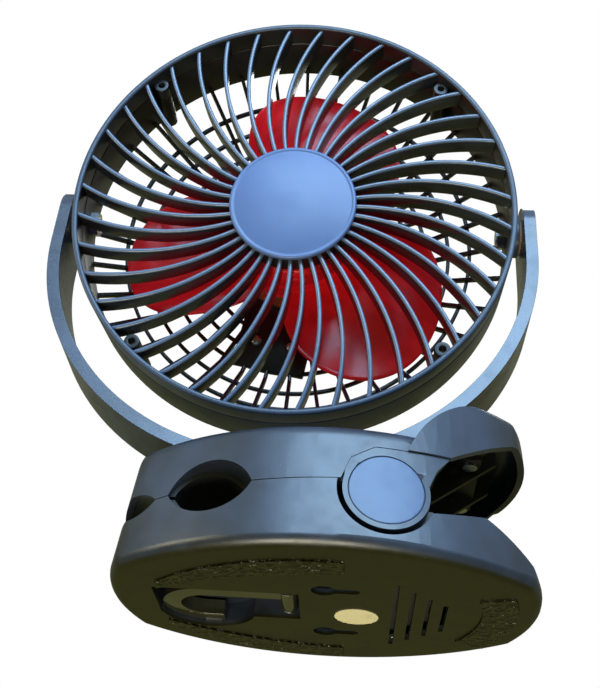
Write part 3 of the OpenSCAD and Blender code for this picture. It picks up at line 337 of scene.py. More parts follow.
def clear_red(name, colour):
    """Glossy red moulding with a painted glow for the light that comes through it, streaks of painted light
    and shade, and a little haze.
    """
    # Emission_Strength paints a glow into the red, for the light that comes through the blades
    made = Finish(name, Specular_IOR_Level=0.3, Emission_Strength=0.12)
    painted_streaks_and_ripple = made.noise(1.0, 3.0, 0.55, made.stretched((30, 120, 30), (0.2, 0.6, 0.9)))
    clouds = made.noise(26, 2.0, 0.5)
    haze = made.noise(900, 2.0)
    # painted light and shade: streaks of lighter and darker red, which also ripple the bump
    tone = made.mix(made.window(painted_streaks_and_ripple, 0.35, 0.68), tint(colour, 0.62), tint(colour, 1.2))
    tone = made.mix(made.window(clouds, 0.55, 0.8) * 0.3, tone, shade(255, 84, 60))
    return made.wear(
        Base_Color=tone,
        Emission_Color=tone,
        Roughness=0.10 + haze * 0.08 + made.window(clouds, 0.5, 0.8) * 0.12,
        Normal=made.bump(painted_streaks_and_ripple * 0.8 + haze * 0.1, 0.00012))


def sticker_stock(name, colour):
    """Plain sticker stock: fibres, random patches of darker stain and no print."""
    made = Finish(name)
    fibres = made.noise(1.0, 4.0, 0.7, made.stretched((1500, 500, 1500), (0, 0, 0.4)))
    stain = made.window(made.noise(140, 3.0), 0.5, 0.8)
    clean = made.mix(fibres, tint(colour, 0.85), tint(colour, 1.08))
    return made.wear(
        Base_Color=made.mix(stain, clean, tint(colour, 0.7)),
        Roughness=0.42 + fibres * 0.2,
        Normal=made.bump(fibres, 0.00003))


def wound_wire(name, colour):
    """Enamelled copper wound over a laminated core."""
    made = Finish(name, Metallic=0.85)
    rings = made.node("ShaderNodeTexWave", {"wave_type": "RINGS", "rings_direction": "SPHERICAL"}, {
        "Vector": made.place, "Scale": 700.0, "Distortion": 0.6, "Detail": 1.0})
    turns = made.out(rings, "Fac")
    return made.wear(
        Base_Color=made.mix(turns, tint(colour, 0.35), tint(colour, 1.1)),
        Roughness=0.26 + (1 - turns) * 0.2,
        Normal=made.bump(turns, 0.0002))


def lacquered_board(name, colour):
    """Lacquered circuit board with a hint of its tracks."""
    made = Finish(name)
    tracks = made.window(made.cells(420, "DISTANCE_TO_EDGE"), 0.05, 0.09)
    return made.wear(
        Base_Color=made.mix(tracks, tint(colour, 1.8), tint(colour, 0.8)),
        Roughness=0.28 + made.noise(500) * 0.15,
        Normal=made.bump(tracks, 0.00006))


def shrink_wrap(name, colour):
    """Heat-shrunk wrap with soft wrinkles, with painted shade in their hollows and a painted highlight on
    their ridges.
    """
    made = Finish(name)
    wrinkles = made.noise(1.0, 3.0, 0.6, made.stretched((120, 420, 120)))
    # painted shade and highlight: the colour darkens in the wrinkle hollows and lightens on the ridges
    return made.wear(
        Base_Color=made.mix(wrinkles, tint(colour, 0.75), tint(colour, 1.2)),
        Roughness=0.2 + wrinkles * 0.2,
        Normal=made.bump(wrinkles, 0.0002))


FINISHES = {
    # shell_black: the olive-dark tone below 2.2 mm is a painted reflection and shade on the underside; its
    # clouds are random tone, and their bluer second tone is a painted blue reflection
    "shell_black": moulded("satin_black_moulding", shade(36, 41, 50), 0.36, dust=0.045,
                           second=shade(42, 51, 68), below=(0.0022, shade(26, 27, 8)),
                           Specular_IOR_Level=0.8),
    "inner_black": moulded("matte_black_moulding", shade(36, 37, 40), 0.46, smudge=0.08),
    # grille_black: the lighter front edges of the ribs are a painted highlight
    "grille_black": moulded("grille_painted_highlight", shade(26, 29, 35), 0.24, second=shade(32, 37, 46),
                            lip=(RIM_FRONT - 2.6, RIM_FRONT - 1.8, HEAD_R, shade(86, 102, 128)),
                            Specular_IOR_Level=0.8),
    # pad_rubber: the olive in the pads' near-black is a painted reflection
    "pad_rubber": crinkled_rubber("crinkled_pad_rubber", shade(28, 30, 14)),
    "liner_rubber": moulded("soft_liner_rubber", shade(34, 34, 34), 0.62, grain=0.00006, grain_scale=1500),
    "screw_steel": metal("zinc_plated_steel", shade(206, 208, 212), 0.20),
    "spring_steel": metal("oiled_spring_steel", shade(158, 160, 164), 0.28, patina=0.4),
    "hook_black": moulded("polished_hook_moulding", shade(46, 46, 36), 0.08, grain=0.00001, smudge=0.12,
                          Coat_Weight=1.0, Specular_IOR_Level=1.0),
    "rotor_red": clear_red("clear_red_painted_glow", shade(252, 30, 38)),
    "label_cream": sticker_stock("cream_sticker_stock", shade(246, 236, 196)),
    "cell_wrap": shrink_wrap("blue_cell_wrap", shade(80, 124, 182)),
    # tray_white: a grey far darker than the tray's white, painted shade for what shows through the vents
    "tray_white": moulded("tray_moulding_painted_shade", shade(84, 84, 82), 0.42, spread=0.05),
    "board_green": lacquered_board("green_board_lacquer", shade(38, 114, 74)),
    "light_clear": moulded("frosted_light_pipe", shade(230, 234, 238), 0.25, spread=0.05),
    "winding_copper": wound_wire("enamelled_copper", shade(218, 148, 96)),
    "magnet_grey": moulded("sintered_magnet", shade(96, 96, 100), 0.40, grain=0.00006),
    "washer_fibre": moulded("fibre_washer", shade(153, 122, 90), 0.70, grain=0.00006),
}

# More tones of the same mouldings. The blue of the disc, the pivot caps and the bracket is a painted sky
# reflection over their own darker tone.
DISC_SLATE_PAINTED_SHEEN = moulded("slate_disc_painted_sheen", shade(84, 108, 156), 0.36, grain=0.00002, spread=0.06,
                     dust=0.02)
# the rim's lighter front lip and outer wall are a painted highlight and reflection
RIM_BLACK_PAINTED_HIGHLIGHT = moulded("rim_painted_highlight", shade(20, 22, 25), 0.36, grain=0.00002, second=shade(28, 31, 37),
                    lip=(RIM_FRONT - 1.2, RIM_FRONT - 0.4, HEAD_R - 1, shade(60, 72, 92)),
                    Specular_IOR_Level=0.5)
BRACKET_BLACK_PAINTED_SHEEN = moulded("bracket_painted_sheen", shade(44, 55, 76), 0.30, grain=0.00002, Specular_IOR_Level=0.9)
CAP_SLATE_PAINTED_SHEEN = moulded("slate_cap_painted_sheen", shade(78, 98, 132), 0.34, grain=0.00002, spread=0.08)

SLOT_OF = {part["node"]: part["material_slot"] for part in frame["record"]["subparts"]}
for node, slot_name in SLOT_OF.items():
    data = frame["nodes"][node].data
    data.materials.clear()
    data.materials.append(FINISHES[slot_name])


# ---------- ways to build a piece ----------

def show(name, data, body, slot_name, *nodes, finish=None):
    """A finished piece in its place, riding its body and standing for its nodes."""
    piece = bpy.data.objects.new(name, data)
    bpy.context.scene.collection.objects.link(piece)
    if not data.materials:
        data.materials.append(finish or FINISHES[slot_name])
    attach(piece, body)
    if nodes:
        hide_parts(*nodes)
    return piece


def as_mesh(name, work, sharp=40):
    """A finished mesh from the faces in work, smooth but for edges sharper than the angle."""
    data = bpy.data.meshes.new(name)
    work.to_mesh(data)
    work.free()
    data.shade_smooth()
    data.set_sharp_from_angle(angle=math.radians(sharp))
    return data


def merged(*nodes):
    """The nodes' own faces as one clean mesh with its doubles joined."""
    work = bmesh.new()
    for node in nodes:
        work.from_mesh(frame["nodes"][node].data)
    bmesh.ops.remove_doubles(work, verts=work.verts, dist=2e-6)
    bmesh.ops.dissolve_limit(work, angle_limit=math.radians(0.4), verts=work.verts, edges=work.edges,
                             use_dissolve_boundaries=False)
    return work


def fair(piece):
    """Flat faces that stay flat where they run into a round."""
    even = piece.modifiers.new("even shading", "WEIGHTED_NORMAL")
    even.mode = "FACE_AREA"
    even.weight = 80
    even.keep_sharp = True
    return piece


def plain(name, body, slot_name, nodes, sharp=16, finish=None):
    """Nodes as one piece whose rounds are smooth and whose edges stay crisp."""
    return show(name, as_mesh(name, merged(*nodes), sharp), body, slot_name, *nodes, finish=finish)


def softened(name, body, slot_name, nodes, radius, angle=32, segments=2, finish=None):
    """Nodes as one piece with every hard edge broken by a small round."""
    piece = show(name, as_mesh(name, merged(*nodes), 180), body, slot_name, *nodes, finish=finish)
    edge = piece.modifiers.new("broken edges", "BEVEL")
    edge.width = radius * MM
    edge.segments = segments
    edge.limit_method = "ANGLE"
    edge.angle_limit = math.radians(angle)
    edge.use_clamp_overlap = True
    edge.miter_outer = "MITER_ARC"
    return fair(piece)


def turned(work, outline, steps=144, place=HEAD):
    """Adds a closed outline of (radius, height) points, turned about the axis of the place."""
    rings = []
    for i in range(steps):
        a = 2 * math.pi * i / steps
        rings.append([work.verts.new(place @ Vector((r * math.cos(a), r * math.sin(a), z)))
                      for r, z in outline])
    n = len(outline)
    for i in range(steps):
        here, there = rings[i], rings[(i + 1) % steps]
        for k in range(n):
            work.faces.new((here[k], there[k], there[(k + 1) % n], here[(k + 1) % n]))
    bmesh.ops.remove_doubles(work, verts=[v for ring in rings for v in ring], dist=1e-7)


def closed(work):
    """Loose ends of the poles taken away and every face turned outwards."""
    bmesh.ops.dissolve_degenerate(work, edges=work.edges, dist=1e-8)
    bmesh.ops.recalc_face_normals(work, faces=work.faces)
    return work


def rounded(outer, inner, bottom, top, edge, steps=4):
    """Outline of a ring's section with rounded corners, as (radius, height) points."""
    points = []
    for r, z, start in ((outer, top, 0), (inner, top, 90), (inner, bottom, 180), (outer, bottom, 270)):
        inward = -edge if r == outer else edge
        upward = -edge if z == top else edge
        for k in range(steps + 1):
            a = math.radians(start + 90 * k / steps)
            points.append((r + inward + edge * math.cos(a), z + upward + edge * math.sin(a)))
    return points


def slab(work, sizes, place, edge=0.4):
    """Adds a block with its edges broken, its middle at the origin of the place."""
    part = bmesh.new()
    bmesh.ops.create_cube(part, size=1.0)
    bmesh.ops.scale(part, vec=Vector(sizes), verts=part.verts)
    bmesh.ops.bevel(part, geom=part.edges[:], offset=edge, segments=2, affect="EDGES", profile=0.5)
    bmesh.ops.transform(part, matrix=place, verts=part.verts)
    data = bpy.data.meshes.new("slab")
    part.to_mesh(data)
    part.free()
    work.from_mesh(data)
    bpy.data.meshes.remove(data)


# ---------- patterns: what repeats, as geometry nodes ----------

class Pattern(Maker):
    """A tree of geometry nodes whose sizes are named inputs."""

    def __init__(self, name, **sizes):
        self.name, self.sizes = name, sizes
        self.tree = bpy.data.node_groups.new(name, "GeometryNodeTree")
        self.tree.interface.new_socket("Geometry", in_out="OUTPUT", socket_type="NodeSocketGeometry")
        self.keys = {}
        for label, value in sizes.items():
            kind = "NodeSocketInt" if isinstance(value, int) else "NodeSocketFloat"
            socket = self.tree.interface.new_socket(label, in_out="INPUT", socket_type=kind)
            self.keys[label] = socket.identifier
        self.given = self.node("NodeGroupInput")

    def size(self, label):
        return self.out(self.given, label)

    def vector(self, x=0.0, y=0.0, z=0.0):
        return self.out(self.node("ShaderNodeCombineXYZ", {}, {"X": x, "Y": y, "Z": z}))

    def moved(self, geometry, shift=(0, 0, 0), turn=(0, 0, 0), scale=(1, 1, 1)):
        return self.out(self.node("GeometryNodeTransform", {}, {
            "Geometry": geometry, "Translation": shift, "Rotation": turn, "Scale": scale}))

    def joined(self, *parts):
        return self.out(self.node("GeometryNodeJoinGeometry", {}, {"Geometry": parts}))

    def bar_profile(self, width, height, edge):
        """A rectangle with rounded corners, to sweep along a curve."""
        sheet = self.out(self.node("GeometryNodeCurvePrimitiveQuadrilateral", {"mode": "RECTANGLE"}, {
            "Width": width, "Height": height}))
        return self.out(self.node("GeometryNodeFilletCurve", {"mode": "POLY"}, {
            "Curve": sheet, "Radius": edge, "Count": 3, "Limit Radius": True}))

    def swept(self, path, profile):
        """A bar along a path that lies in a plane through or across the upright axis."""
        level = self.out(self.node("GeometryNodeSetCurveNormal", {"mode": "Z_UP"}, {"Curve": path}))
        return self.out(self.node("GeometryNodeCurveToMesh", {}, {
            "Curve": level, "Profile Curve": profile, "Fill Caps": True}))

    def around(self, geometry, count, step, first=0.0):
        """The geometry repeated about the upright axis, at even steps."""
        points = self.out(self.node("GeometryNodePoints", {}, {"Count": count}))
        index = self.out(self.node("GeometryNodeInputIndex"))
        return self.out(self.node("GeometryNodeInstanceOnPoints", {}, {
            "Points": points, "Instance": geometry, "Rotation": self.vector(z=index * step + first)}))

    def grown(self, geometry, finish, place=HEAD):
        """The pattern as a plain mesh in its place."""
        whole = self.out(self.node("GeometryNodeRealizeInstances", {}, {"Geometry": geometry}))
        painted = self.out(self.node("GeometryNodeSetMaterial", {}, {
            "Geometry": whole, "Material": finish}))
        end = self.node("NodeGroupOutput")
        self.plug(end.inputs[0], painted)
        seed = bpy.data.objects.new(self.name, bpy.data.meshes.new(self.name + "_seed"))
        bpy.context.scene.collection.objects.link(seed)
        growth = seed.modifiers.new("growth", "NODES")
        growth.node_group = self.tree
        for label, value in self.sizes.items():
            growth[self.keys[label]] = value
        data = bpy.data.meshes.new_from_object(seed.evaluated_get(bpy.context.evaluated_depsgraph_get()))
        seed.modifiers.clear()
        bpy.data.objects.remove(seed)
        work = bmesh.new()
        work.from_mesh(data)
        bmesh.ops.transform(work, matrix=place, verts=work.verts)
        bmesh.ops.remove_doubles(work, verts=work.verts, dist=1e-7)
        bmesh.ops.recalc_face_normals(work, faces=work.faces)
        work.to_mesh(data)
        work.free()
        data.name = self.name
        data.shade_smooth()
        data.set_sharp_from_angle(angle=math.radians(50))
        return data


def swirl_ribs():
    """The forty curved ribs of the front grille, rounded along their edges."""
    start, stop = rib_turn(HUB_RING_R - 1.0), rib_turn(INNER_R + 1.0)
    made = Pattern("swirl_ribs", Count=RIB_COUNT, Thickness=RIB_T, Depth=RIB_FRONT - RIB_BACK, Edge=0.75,
                   Arc=RIB_ARC, Centre=RIB_ARC_CENTRE, Start=math.pi - stop, Sweep=stop - start,
                   Middle=(RIB_FRONT + RIB_BACK) / 2)
    arc = made.out(made.node("GeometryNodeCurveArc", {"mode": "RADIUS"}, {
        "Resolution": 30, "Radius": made.size("Arc"), "Start Angle": made.size("Start"),
        "Sweep Angle": made.size("Sweep")}))
    profile = made.bar_profile(made.size("Thickness"), made.size("Depth"), made.size("Edge"))
    rib = made.moved(made.swept(arc, profile), made.vector(made.size("Centre"), 0.0, made.size("Middle")))
    step = 2 * math.pi / made.size("Count")
    return made.grown(made.around(rib, made.size("Count"), step), FINISHES["grille_black"])


def spoke_ribs():
    """The straight ribs of the rear grille, bent where the back rises to the rim."""
    made = Pattern("spoke_ribs", Count=REAR_RIB_COUNT, Thickness=REAR_RIB_T, Depth=2.7, Edge=0.45,
                   Inside=PLATE_R - 1.0, Bend=BACK_R - 0.5, Outside=INNER_R + 1.0,
                   Low=1.6 - BACK, High=2.0 - TAPER_BACK)
    flat = made.out(made.node("GeometryNodeCurvePrimitiveLine", {"mode": "POINTS"}, {
        "Start": made.vector(made.size("Inside"), 0.0, made.size("Low")),
        "End": made.vector(made.size("Bend"), 0.0, made.size("Low"))}))
    risen = made.out(made.node("GeometryNodeCurvePrimitiveLine", {"mode": "POINTS"}, {
        "Start": made.vector(made.size("Bend"), 0.0, made.size("Low")),
        "End": made.vector(made.size("Outside"), 0.0, made.size("High"))}))
    profile = made.bar_profile(made.size("Thickness"), made.size("Depth"), made.size("Edge"))
    rib = made.joined(made.swept(flat, profile), made.swept(risen, profile))
    step = 2 * math.pi / made.size("Count")
    return made.grown(made.around(rib, made.size("Count"), step), FINISHES["grille_black"])


def cross_screws(name, count, step, first, circle, seat, head_r, head_h, shaft_r, length, facing=1):
    """Pan-head screws with a crossed recess, standing on a circle about the fan axis."""
    made = Pattern(name, Count=count, Step=math.radians(step), First=math.radians(first), Circle=circle,
                   Seat=seat, Head=head_r, Dome=head_h, Shaft=shaft_r, Length=length, Facing=float(facing))
    ball = made.out(made.node("GeometryNodeMeshUVSphere", {}, {"Segments": 28, "Rings": 14, "Radius": 1.0}))
    dome = made.moved(ball, scale=made.vector(made.size("Head"), made.size("Head"), made.size("Dome")))
    cut = made.node("GeometryNodeMeshBoolean", {"operation": "DIFFERENCE"}, {"Mesh 1": dome})
    for long, wide in ((1.18, 0.27), (0.27, 1.18)):
        bar = made.node("GeometryNodeMeshCube", {}, {
            "Size": made.vector(made.size("Head") * long, made.size("Head") * wide, made.size("Dome"))})
        made.plug(cut.inputs["Mesh 2"], made.moved(made.out(bar), made.vector(z=made.size("Dome") * 1.02)))
    shaft = made.out(made.node("GeometryNodeMeshCylinder", {}, {
        "Vertices": 20, "Radius": made.size("Shaft"), "Depth": made.size("Length")}))
    shaft = made.moved(shaft, made.vector(z=made.size("Length") * -0.5))
    screw = made.joined(made.out(cut), shaft)
    over = made.vector(x=(1 - made.size("Facing")) * (math.pi / 2))
    screw = made.moved(screw, made.vector(made.size("Circle"), 0.0, made.size("Seat")), over)
    ring = made.around(screw, made.size("Count"), made.size("Step"), made.size("First"))
    return made.grown(ring, FINISHES["screw_steel"])


# ---------- fan head ----------

def at_bearing(radius, bearing, height):
    """Place on a circle about the fan axis, upright along it."""
    return HEAD @ Matrix.Rotation(math.radians(bearing), 4, "Z") @ Matrix.Translation((radius, 0, height))


def post_bearings():
    return [POST_BEARING + 90 * i for i in range(4)]


def front_rim():
    """Front rim with its rolled lip, the ring around the disc and the screw posts."""
    work = bmesh.new()
    turned(work, rounded(HEAD_R, INNER_R, RIM_SEAM + SEAM_GAP, RIM_FRONT, 0.9), 180)
    turned(work, rounded(HUB_RING_R, HUB_RING_R - HUB_RING_T, RIB_BACK - 0.5, RIM_FRONT - 0.8, 0.5))
    for bearing in post_bearings():
        post = rounded(POST_R, 1.35, 0, 6, 0.3)
        turned(work, post, 32, at_bearing(POST_PLACE_R - 0.1, bearing, RIM_SEAM + SEAM_GAP))
    return as_mesh("front_rim", closed(work), 45)


def centre_disc():
    """The blank disc: a shallow rolled edge and a fine groove inside it."""
    face = DISC_FRONT - 0.15
    outline = [(0, DISC_BACK), (DISC_R - 0.4, DISC_BACK), (DISC_R, DISC_BACK + 0.4),
               (DISC_R, DISC_FRONT - 0.9)]
    for k in range(1, 6):
        a = math.radians(90 * k / 5)
        outline.append((DISC_R - 0.9 + 0.9 * math.cos(a), DISC_FRONT - 0.9 + 0.9 * math.sin(a)))
    outline += [(DISC_R - 1.5, DISC_FRONT - 0.02), (DISC_R - 1.8, face - 0.12), (DISC_R - 2.1, face - 0.12),
                (DISC_R - 2.4, face), (0, face)]
    work = bmesh.new()
    turned(work, outline)
    socket_r = HUB_RING_R - HUB_RING_T
    turned(work, rounded(socket_r - 0.05, socket_r - 1.8, DISC_SPIGOT_BACK, DISC_BACK + 0.1, 0.2))
    return as_mesh("slate_disc", closed(work), 60)


def rear_grille():
    """Rim, rings, motor plate, arm, tilt bosses and screw posts of the rear grille."""
    work = bmesh.new()
    turned(work, rounded(HEAD_R, INNER_R, -TAPER_BACK, RIM_SEAM, 0.6), 180)
    for radius in REAR_RING_R:
        rise = max(0.0, radius - BACK_R) * (BACK - TAPER_BACK) / (HEAD_R - BACK_R)
        turned(work, rounded(radius + REAR_RIB_T, radius, 0.45 - BACK + rise, 2.6 - BACK + rise, 0.4, 3))
    turned(work, rounded(PLATE_R, SHAFT_HOLE_R, -BACK, PLATE_FRONT, 0.5))
    arm = HEAD @ Matrix.Rotation(math.radians(ARM_BEARING), 4, "Z")
    slab(work, (36, ARM_W, ARM_T), arm @ Matrix.Translation((40, 0, ARM_FRONT - ARM_T / 2)), 0.6)
    for side in (-1, 1):
        bead = Matrix.Translation((41, side * (ARM_W / 2 - 1.2), ARM_FRONT + 0.5))
        slab(work, (32, 1.6, 1.4), arm @ bead, 0.4)
        boss = HEAD @ Matrix.Rotation(math.radians(90 * side), 4, "Y")
        turned(work, rounded(BOSS_R, TILT_BORE_R, INNER_R + 0.5, BOSS_END, 0.4), 64, boss)
    for bearing in post_bearings():
        post = rounded(POST_R, 1.5, 1 - TAPER_BACK, RIM_SEAM, 0.3)
        turned(work, post, 32, at_bearing(POST_PLACE_R - 0.1, bearing, 0))
    return as_mesh("rear_grille", closed(work), 45)


def blade_height(y):
    """Height of a blade's middle surface at a place across it: an arc, pitched about the blade's length."""
    half = BLADE_ROUND + 1.3
    reach = math.sqrt(BLADE_CAMBER ** 2 - half ** 2)
    pitch = math.radians(BLADE_PITCH)
    middle_y, middle_z = -reach * math.sin(pitch), reach * math.cos(pitch)
    radius = BLADE_CAMBER + BLADE_T / 2
    return middle_z - math.sqrt(radius ** 2 - (y - middle_y) ** 2)


def blades(across=28, along=36):
    """Three cambered sheets with round outlines and soft edges, on their turned hub."""
    work = bmesh.new()
    centre = BLADE_TIP_R - BLADE_ROUND
    root = HUB_R - 0.6
    for b in range(BLADE_COUNT):
        spin = HEAD @ Matrix.Rotation(math.radians(BLADE_TURN + 360 / BLADE_COUNT * b), 4, "Z")
        sheets = []
        for side in (1, -1):
            rows = []
            for i in range(along + 1):
                radius = root + (BLADE_TIP_R - 0.02 - root) * (1 - (1 - i / along) ** 2)
                reach = (radius ** 2 + centre ** 2 - BLADE_ROUND ** 2) / (2 * radius * centre)
                spread = math.acos(max(-1.0, min(1.0, reach)))
                row = []
                for j in range(across + 1):
                    t = math.sin(math.pi / 2 * (2 * j / across - 1))
                    x, y = radius * math.cos(spread * t), radius * math.sin(spread * t)
                    inward = BLADE_ROUND - math.hypot(x - centre, y)
                    thick = BLADE_T / 2 * min(1.0, math.sqrt(max(0.0, inward) / 0.9) * 0.75 + 0.25)
                    row.append(work.verts.new(spin @ Vector((x, y, blade_height(y) + side * thick))))
                rows.append(row)
            sheets.append(rows)
            for i in range(along):
                for j in range(across):
                    work.faces.new((rows[i][j], rows[i + 1][j], rows[i + 1][j + 1], rows[i][j + 1]))
        top, bottom = sheets
        for i in range(along):
            for j in (0, across):
                work.faces.new((top[i][j], top[i + 1][j], bottom[i + 1][j], bottom[i][j]))
        for i in (0, along):
            for j in range(across):
                work.faces.new((top[i][j], top[i][j + 1], bottom[i][j + 1], bottom[i][j]))
    bmesh.ops.remove_doubles(work, verts=work.verts, dist=2e-6)
    hub = [(SHAFT_HOLE_R - 0.45, HUB_FRONT), (HUB_R - 2.2, HUB_FRONT)]
    for k in range(1, 7):
        a = math.radians(90 * k / 6)
        hub.append((HUB_R - 2.2 + 2.2 * math.sin(a), HUB_FRONT - 2.2 + 2.2 * math.cos(a)))
    hub += [(HUB_R, HUB_FRONT - 7), (HUB_R + 1.5, HUB_FRONT - 7.2), (HUB_R + 1.5, HUB_FRONT - 8.8),
            (HUB_R, HUB_FRONT - 9), (HUB_R, HUB_BACK), (CUP_R, HUB_BACK), (CUP_R, HUB_FRONT - 2.4),
            (SHAFT_HOLE_R - 0.45, HUB_FRONT - 2.4)]
    turned(work, hub)
    return as_mesh("blades", closed(work), 50)


show("swirl_ribs", swirl_ribs(), "head", "grille_black", "front_grille")
show("front_rim", front_rim(), "head", "grille_black", "front_grille", finish=RIM_BLACK_PAINTED_HIGHLIGHT)
show("slate_disc", centre_disc(), "head", "shell_black", "centre_disc", finish=DISC_SLATE_PAINTED_SHEEN)
show("spoke_ribs", spoke_ribs(), "head", "grille_black", "rear_housing")
show("rear_grille", rear_grille(), "head", "grille_black", "rear_housing", finish=RIM_BLACK_PAINTED_HIGHLIGHT)
show("blades", blades(), "fan", "rotor_red", "fan_rotor")
softened("rear_cap", "head", "shell_black", ["back_cap"], 0.4, segments=3)
show("arm_screw_pair",
     cross_screws("arm_screw_pair", 2, ARM_SCREW_STEP, ARM_BEARING - ARM_SCREW_STEP / 2, ARM_SCREW_R,
                  ARM_FRONT, SCREW_HEAD_R, SCREW_HEAD_H, 1.4, ARM_T),
     "head", "screw_steel", "arm_screws")
show("rim_screw_ring",
     cross_screws("rim_screw_ring", 4, 90, POST_BEARING, POST_PLACE_R, RIM_SCREW_SEAT - TAPER_BACK,
                  SCREW_HEAD_R, SCREW_HEAD_H, 1.25, RIM_SCREW_L, facing=-1),
     "head", "screw_steel", "housing_screws")


# ---------- yoke and clip ----------

softened("bracket", "yoke", "shell_black", ["yoke"], 0.7, segments=3, finish=BRACKET_BLACK_PAINTED_SHEEN)
fair(plain("body_shell", "base", "shell_black", ["base_shell"]))
fair(plain("jaw_cover", "jaw", "shell_black", ["upper_jaw_cover"]))
plain("jaw_frame", "jaw", "inner_black", ["upper_jaw_frame"], finish=FINISHES["shell_black"])
softened("pivot_cap_pair", "jaw", "shell_black", ["pivot_caps"], 0.5, segments=3, finish=CAP_SLATE_PAINTED_SHEEN)
softened("round_button", "button", SLOT_OF["power_button"], ["power_button"], 0.35, finish=CAP_SLATE_PAINTED_SHEEN)
softened("handle_ribs", "jaw", "inner_black", ["handle_brace"], 0.25)
softened("folding_hook", "hook", "hook_black", ["hanging_hook"], 0.9, segments=4)


# ---------- floor, light and camera ----------

CAMERA_PLACE = (33.0, -355.1, -121.9)
CAMERA_TURN = (4.36, 33.07, 4.64)   # yaw, pitch and roll, in degrees
SENSOR = 36.0                       # sensor and lens, in millimetres
FOCAL_LENGTH = 54.932
FLOOR_DROP = 0.4                    # how far the floor lies under the pads


def studio_floor(size=6.0):
    """A pale floor that the object stands on, seen through from below."""
    made = Finish("pale_floor", Roughness=0.9, Emission_Color=(1.0, 1.0, 1.0), Emission_Strength=0.80)
    speck = made.noise(30)
    made.wear(Base_Color=made.mix(speck, (0.36, 0.29, 0.24), (0.38, 0.31, 0.26)))
    clear = made.node("ShaderNodeBsdfTransparent")
    facing = made.out(made.node("ShaderNodeNewGeometry"), "Backfacing")
    blend = made.node("ShaderNodeMixShader", {}, {0: facing})
    made.tree.links.new(made.surface.outputs["BSDF"], blend.inputs[1])
    made.tree.links.new(clear.outputs["BSDF"], blend.inputs[2])
    made.tree.links.new(blend.outputs["Shader"], made.end.inputs["Surface"])
    data = bpy.data.meshes.new("floor")
    h = size / 2
    data.from_pydata([(-h, -h, 0), (h, -h, 0), (h, h, 0), (-h, h, 0)], [], [(0, 1, 2, 3)])
    data.materials.append(made.material)
    floor = bpy.data.objects.new("floor", data)
    bpy.context.scene.collection.objects.link(floor)
    floor.location.z = -FLOOR_DROP * MM
    floor.visible_shadow = False
    floor.visible_diffuse = False
    floor.visible_glossy = False


class Studio(Maker):
    """Cool light from the front and above, an olive one from behind and below, white where it is seen."""

    def __init__(self, above, behind, below, strength):
        world = bpy.data.worlds.new("studio")
        bpy.context.scene.world = world
        world.use_nodes = True
        self.tree = world.node_tree
        self.tree.nodes.clear()
        rays = self.node("ShaderNodeLightPath")
        upward = self.out(self.node("ShaderNodeTexCoord"), "Generated")
        place = self.node("ShaderNodeSeparateXYZ", {}, {"Vector": upward})
        rise = self.ramp(self.out(place, "Z"), -0.1, 0.55)
        front = self.ramp(self.out(place, "Y") * -1.0, -0.4, 0.3)
        white = self.out(rays, "Is Camera Ray").larger(self.out(rays, "Is Transmission Ray"))
        bright = strength + self.out(rays, "Is Glossy Ray") * rise * (0.35 + front * 0.65) * (1 - strength)
        colour = self.blend(rise, below, self.blend(front, behind, above))
        light = self.node("ShaderNodeBackground", {}, {"Color": colour, "Strength": bright})
        backdrop = self.node("ShaderNodeBackground", {}, {"Color": (1.0, 1.0, 1.0), "Strength": 1.0})
        either = self.node("ShaderNodeMixShader", {}, {0: white})
        self.tree.links.new(light.outputs[0], either.inputs[1])
        self.tree.links.new(backdrop.outputs[0], either.inputs[2])
        end = self.node("ShaderNodeOutputWorld")
        self.tree.links.new(either.outputs[0], end.inputs["Surface"])

    def ramp(self, value, low, high):
        return self.out(self.node("ShaderNodeMapRange", {"interpolation_type": "SMOOTHSTEP"}, {
            "Value": value, "From Min": low, "From Max": high}), "Result")

    def blend(self, factor, first, second):
        return self.out(self.node("ShaderNodeMix", {"data_type": "RGBA"}, {
            0: factor, 6: first, 7: second}), 2)


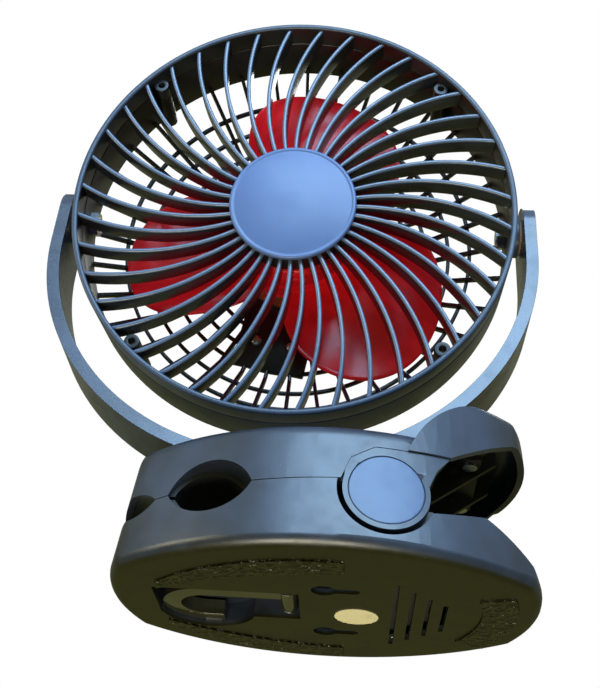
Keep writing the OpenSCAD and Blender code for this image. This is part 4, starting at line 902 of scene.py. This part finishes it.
def softbox(name, aim, bearing, rise, distance, width, height, power, colour):
    """A soft light that looks at one point: bearing from the front, to the right, and rise above level."""
    lamp = bpy.data.lights.new(name, "AREA")
    lamp.shape = "RECTANGLE"
    lamp.size, lamp.size_y = width, height
    lamp.energy = power
    lamp.color = colour
    a, e = math.radians(bearing), math.radians(rise)
    away = Vector((math.sin(a) * math.cos(e), -math.cos(a) * math.cos(e), math.sin(e)))
    box = bpy.data.objects.new(name, lamp)
    bpy.context.scene.collection.objects.link(box)
    box.location = Vector(aim) + away * distance
    box.rotation_euler = away.to_track_quat("Z", "Y").to_euler()


def take_camera():
    """A camera low in front of the fan, looking up at it."""
    yaw, pitch, roll = (math.radians(a) for a in CAMERA_TURN)
    forward = Vector((-math.sin(yaw) * math.cos(pitch), math.cos(yaw) * math.cos(pitch), math.sin(pitch)))
    level = Vector((math.cos(yaw), math.sin(yaw), 0))
    above = level.cross(forward)
    right = math.cos(roll) * level + math.sin(roll) * above
    up = -math.sin(roll) * level + math.cos(roll) * above
    lens = bpy.data.cameras.new("camera")
    lens.sensor_width = SENSOR
    lens.lens = FOCAL_LENGTH
    lens.clip_start = 0.01
    camera = bpy.data.objects.new("camera", lens)
    bpy.context.scene.collection.objects.link(camera)
    turn = Matrix((right, up, -forward)).transposed().to_4x4()
    camera.matrix_world = Matrix.Translation(Vector(CAMERA_PLACE) * MM) @ turn
    bpy.context.scene.camera = camera


studio_floor()
Studio(above=(0.62, 0.81, 1.0), behind=(0.44, 0.45, 0.30), below=(0.36, 0.36, 0.13), strength=0.34)
softbox("key", (0, 0, 0.10), 12, 30, 1.3, 1.2, 0.85, 28, (0.44, 0.70, 1.0))
softbox("fill", (0, 0, 0.12), -62, 2, 1.2, 0.6, 0.6, 4.5, (1.0, 0.93, 0.62))
softbox("top", (0, 0, 0.15), 160, 60, 1.2, 0.6, 0.6, 7, (0.90, 0.95, 1.0))
softbox("under", (0, 0, 0.05), -10, -60, 0.9, 0.5, 0.4, 6.0, (1.0, 0.93, 0.72))
take_camera()
bpy.context.scene.view_settings.view_transform = "Standard"
